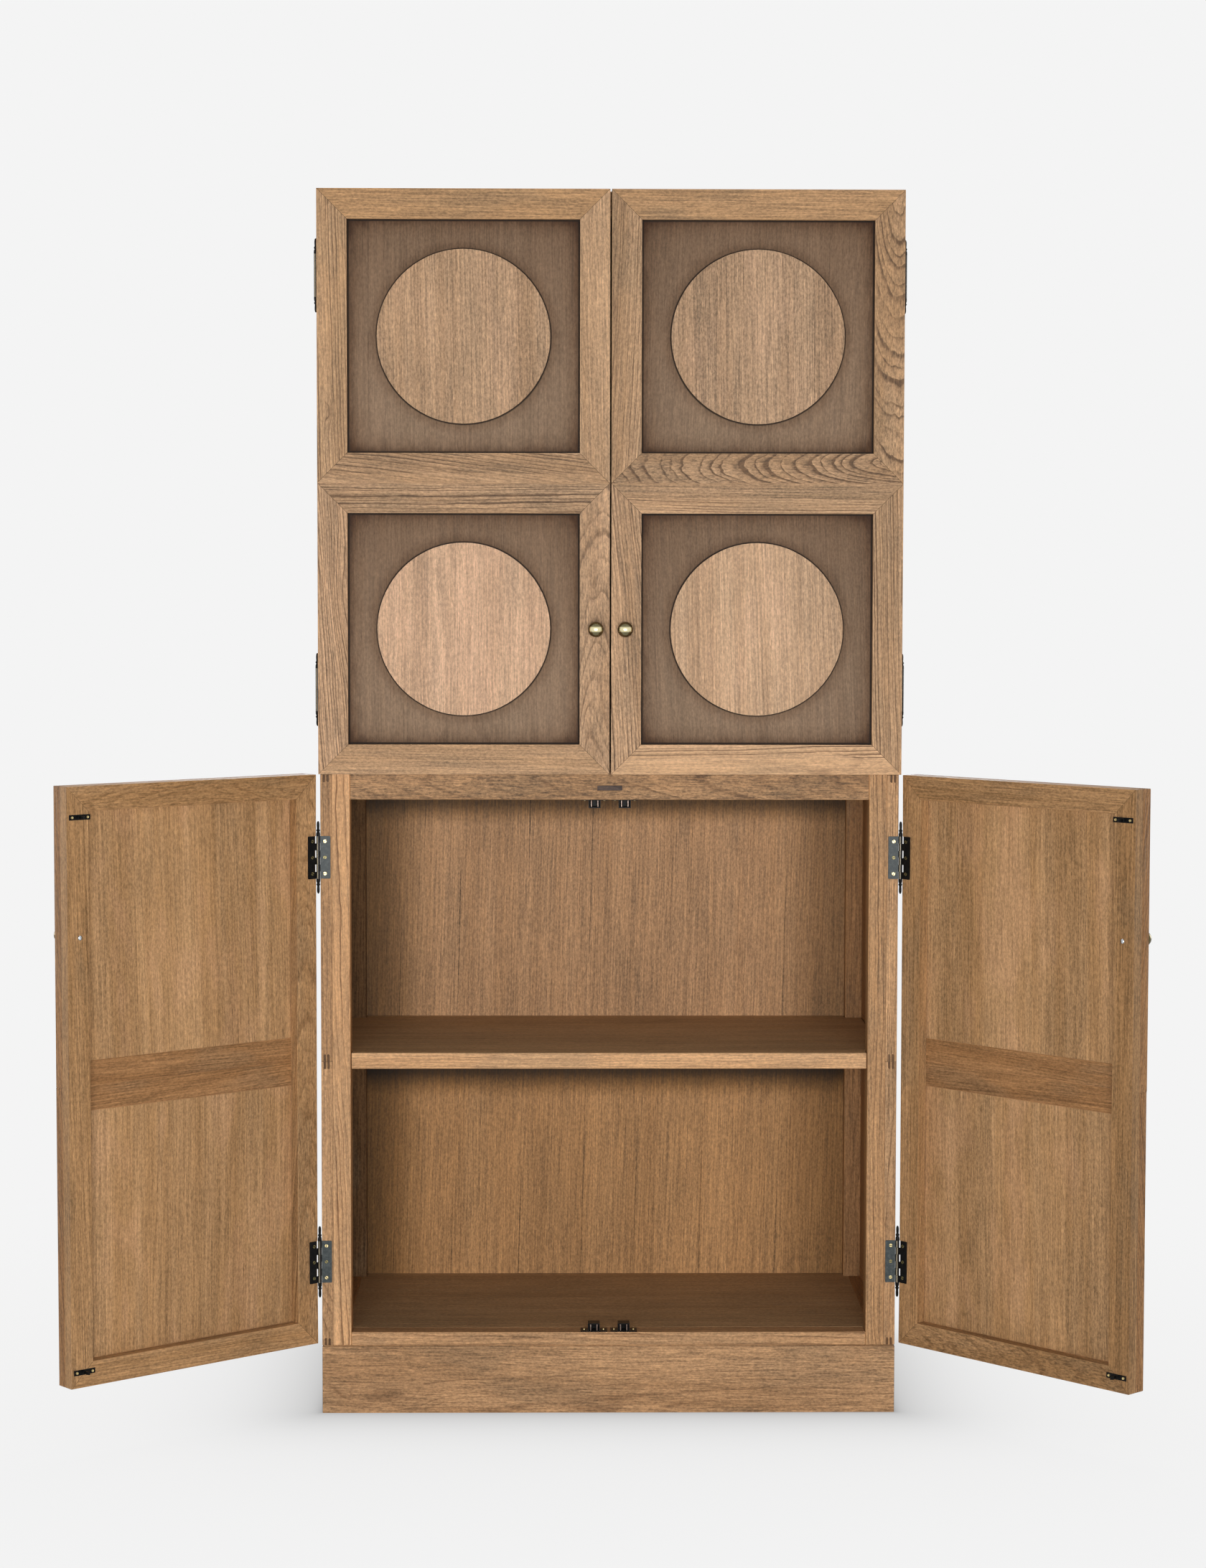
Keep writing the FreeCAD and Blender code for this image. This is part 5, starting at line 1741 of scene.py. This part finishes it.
@dataclass
class Catches:
    """Roller catches in the carcass and the spear strikes on the doors."""

    model: Model
    screws: Screws
    sides: int = 24
    housing_width: float = 20 * MM
    flange_reach: float = 20 * MM
    housing_screws: float = 17 * MM
    strike_screws: float = 15 * MM
    strike_plate: float = 1.2 * MM
    screw_head: float = 5 * MM
    roller_lip: float = 0.4 * MM
    roller_face: float = 0.8
    housing_arris: float = 0.35 * MM
    strike_arris: float = 0.2 * MM

    def housing(self, stock: Stock, joiner: Joiner, solid: Solid) -> None:
        """Add the housing of a catch and note the two screws in its flange."""
        mesh = joiner.board_mesh(solid)
        stock.take(mesh, 0, joiner.ease(mesh, Timber(arris=self.housing_arris)))
        middle = solid.middle
        flange = [
            point.z for triangle in solid.triangles for point in triangle
            if abs(point.x - middle.x) > self.flange_reach
        ]
        hangs = max(flange) > middle.z
        level = min(flange) if hangs else max(flange)
        for side in (-1, 1):
            place = Vector((middle.x + side * self.housing_screws, middle.y, level))
            self.screws.add(CARCASS, place, Vector((0, 0, -1 if hangs else 1)), self.screw_head)

    def roller(self, stock: Stock, solid: Solid) -> None:
        """Add a roller with its ends rounded over."""
        radius, height = solid.size.y / 2, solid.size.z
        face = radius * self.roller_face
        profile = [
            (0.0, 0.0), (face, 0.0), (radius, self.roller_lip), (radius, height - self.roller_lip),
            (face, height), (0.0, height),
        ]
        foot = Vector((solid.middle.x, solid.middle.y, solid.low.z))
        stock.take(lathe(profile, self.sides, foot, Vector((0, 0, 1))))

    def strikes(self, joiner: Joiner, door: str) -> None:
        """Make the strikes of a door and note their screws."""
        stock = Stock()
        for solid in self.model.solids(f"{door}_strikes"):
            mesh = joiner.board_mesh(solid)
            stock.take(mesh, 0, joiner.ease(mesh, Timber(arris=self.strike_arris)))
            for side in (-1, 1):
                across = solid.middle.x + side * self.strike_screws
                place = Vector((across, solid.low.y + self.strike_plate, solid.middle.z))
                self.screws.add(door, place, Vector((0, 1, 0)), self.screw_head)
        stock.piece(f"{door}_strikes_steel", door, ["blackened steel"], self.model, [f"{door}_strikes"])

    def build(self) -> None:
        """Make the housings, their rollers and the strikes, and note their screws."""
        housings, rollers = Stock(), Stock()
        joiner = Joiner(self.model)
        for solid in self.model.solids("catches"):
            if solid.size.x > self.housing_width:
                self.housing(housings, joiner, solid)
            else:
                self.roller(rollers, solid)
        housings.piece("catch_housings_steel", CARCASS, ["blackened steel"], self.model, ["catches"])
        rollers.piece("catch_rollers_steel", CARCASS, ["roller steel"], self.model, smooth=40)
        for door in DOORS:
            self.strikes(joiner, door)


# Studio


@dataclass(frozen=True)
class Lamp:
    """A rectangular soft lamp: where it hangs, its width and height in metres, and its power in watts."""

    name: str
    place: tuple[float, float, float]
    size: Span
    power: float


@dataclass
class Studio:
    """A pale floor and background, soft lamps, and the camera of the photograph."""

    WHITE = (1.0, 1.0, 1.0)
    PAINT = (0.8, 0.8, 0.8)
    LAMPS = (
        Lamp("front box", (-0.1, -6.3, 1.35), (3.8, 0.9), 256.0),
        Lamp("left box", (-5.0, 2.2, 1.8), (1.6, 2.4), 94.0),
        Lamp("right box", (5.0, 2.2, 1.8), (1.6, 2.4), 94.0),
        Lamp("back box", (0.0, 6.0, 2.2), (3.0, 2.0), 175.0),
        Lamp("top box", (0.0, 0.7, 6.0), (2.0, 1.5), 90.0),
    )

    target: tuple[float, float, float] = (0.0, 0.0, 1.1)
    background: float = 0.905
    ambient: float = 0.15
    floor_size: float = 60.0
    footprint: tuple[float, float, float] = (0.508, 0.245, 0.0)
    foot_shadows: tuple[Span, ...] = ((0.11, 0.38), (0.008, 0.35))
    shade_reach: Span = (0.2, 1.6)
    shade_glow: float = 0.94
    lens: float = 98.02
    sensor: float = 36.0
    camera_place: Vector = field(default_factory=lambda: Vector((-85.67, -6000.59, 1507.87)) * MM)
    pitch: float = -0.06723
    yaw: float = 0.01282
    roll: float = 0.00176

    def camera(self) -> None:
        """Place the camera where the photograph was taken."""
        data = bpy.data.cameras.new("camera")
        data.lens, data.sensor_width, data.sensor_fit = self.lens, self.sensor, "HORIZONTAL"
        data.clip_end = 200
        camera = add_object("camera", data)
        flat = math.cos(self.pitch)
        forward = Vector((math.sin(self.yaw) * flat, math.cos(self.yaw) * flat, math.sin(self.pitch)))
        level = Vector((math.cos(self.yaw), -math.sin(self.yaw), 0))
        upright = level.cross(forward)
        right = level * math.cos(self.roll) + upright * math.sin(self.roll)
        up = upright * math.cos(self.roll) - level * math.sin(self.roll)
        turn = Matrix((right, up, -forward)).transposed().to_4x4()
        camera.matrix_world = Matrix.Translation(self.camera_place) @ turn
        bpy.context.scene.camera = camera

    @staticmethod
    def seen(wires: Wiring) -> tuple[Socket, Socket]:
        """Whether the camera or a mirror sees the surface, and whether a ray passed through glass to it."""
        path = wires.add("ShaderNodeLightPath")
        seen = wires.sum("MAXIMUM", path.outputs["Is Camera Ray"], path.outputs["Is Glossy Ray"])
        return seen, path.outputs["Is Transmission Ray"]

    def world(self) -> None:
        """Light the object evenly, and show the background's colour to the camera and in metal."""
        world = bpy.data.worlds.new("studio")
        wires = start_tree(world)
        seen = wires.sum("MAXIMUM", *self.seen(wires))
        strength = wires.between(seen, self.ambient, self.background)
        background = wires.add("ShaderNodeBackground", {"Color": self.WHITE, "Strength": strength})
        wires.add("ShaderNodeOutputWorld", {"Surface": background.outputs[0]})
        bpy.context.scene.world = world

    def floor(self) -> None:
        """Lay a pale floor with a painted soft shadow near the cabinet's foot and a little real shade from
        its paint.
        """
        mesh = bpy.data.meshes.new("floor")
        half = self.floor_size / 2
        corners = [(-half, -half, 0), (half, -half, 0), (half, half, 0), (-half, half, 0)]
        mesh.from_pydata(corners, [], [(0, 1, 2, 3)])
        material = bpy.data.materials.new("pale floor")
        wires = start_tree(material)
        seen, _ = self.seen(wires)
        paint = wires.add("ShaderNodeBsdfDiffuse", {"Color": self.PAINT})
        place = wires.add("ShaderNodeTexCoord").outputs["Object"]
        mirrored = wires.vectors("ABSOLUTE", place).outputs[0]
        beyond = wires.vectors("SUBTRACT", mirrored, self.footprint).outputs[0]
        outside = wires.vectors("MAXIMUM", beyond, (0.0, 0.0, 0.0)).outputs[0]
        away = wires.vectors("LENGTH", outside).outputs["Value"]
        # Painted shadow: the floor's glow darkened near the cabinet's foot.
        bright = self.background
        for reach, strength in self.foot_shadows:
            fall = wires.sum("EXPONENT", wires.over(away, -reach))
            bright = wires.times(bright, wires.minus(1.0, wires.times(fall, strength)))
        glow = wires.add("ShaderNodeEmission", {"Color": self.WHITE, "Strength": bright})
        share = wires.times(seen, wires.span(away, *self.shade_reach, (self.shade_glow, 1.0)))
        mixed = wires.add("ShaderNodeMixShader", {0: share, 1: paint.outputs[0], 2: glow.outputs[0]})
        wires.add("ShaderNodeOutputMaterial", {"Surface": mixed.outputs[0]})
        mesh.materials.append(material)
        floor = add_object("floor", mesh)

    def hang(self, lamp: Lamp) -> None:
        """Hang a lamp so that it points at the middle of the cabinet."""
        data = bpy.data.lights.new(lamp.name, "AREA")
        data.shape, data.size, data.size_y, data.energy = "RECTANGLE", *lamp.size, lamp.power
        light = add_object(lamp.name, data)
        place = Vector(lamp.place)
        aim = (Vector(self.target) - place).to_track_quat("-Z", "Y").to_matrix().to_4x4()
        light.matrix_world = Matrix.Translation(place) @ aim

    def build(self) -> None:
        """Set the whole studio up."""
        self.camera()
        self.world()
        self.floor()
        for lamp in self.LAMPS:
            self.hang(lamp)
        bpy.context.scene.view_settings.view_transform = "Standard"


def main() -> None:
    """Build every piece in order."""
    logging.basicConfig(level=logging.INFO, format="%(message)s")
    model = Model()
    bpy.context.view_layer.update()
    Figure.build()
    for finish in FINISHES:
        finish.material()
    Joiner(model).all_wood()
    screws = Screws(model)
    Hinges(model, screws).build()
    Knobs(model).build()
    Catches(model, screws).build()
    screws.build()
    Studio().build()


if __name__ == "__main__":
    main()
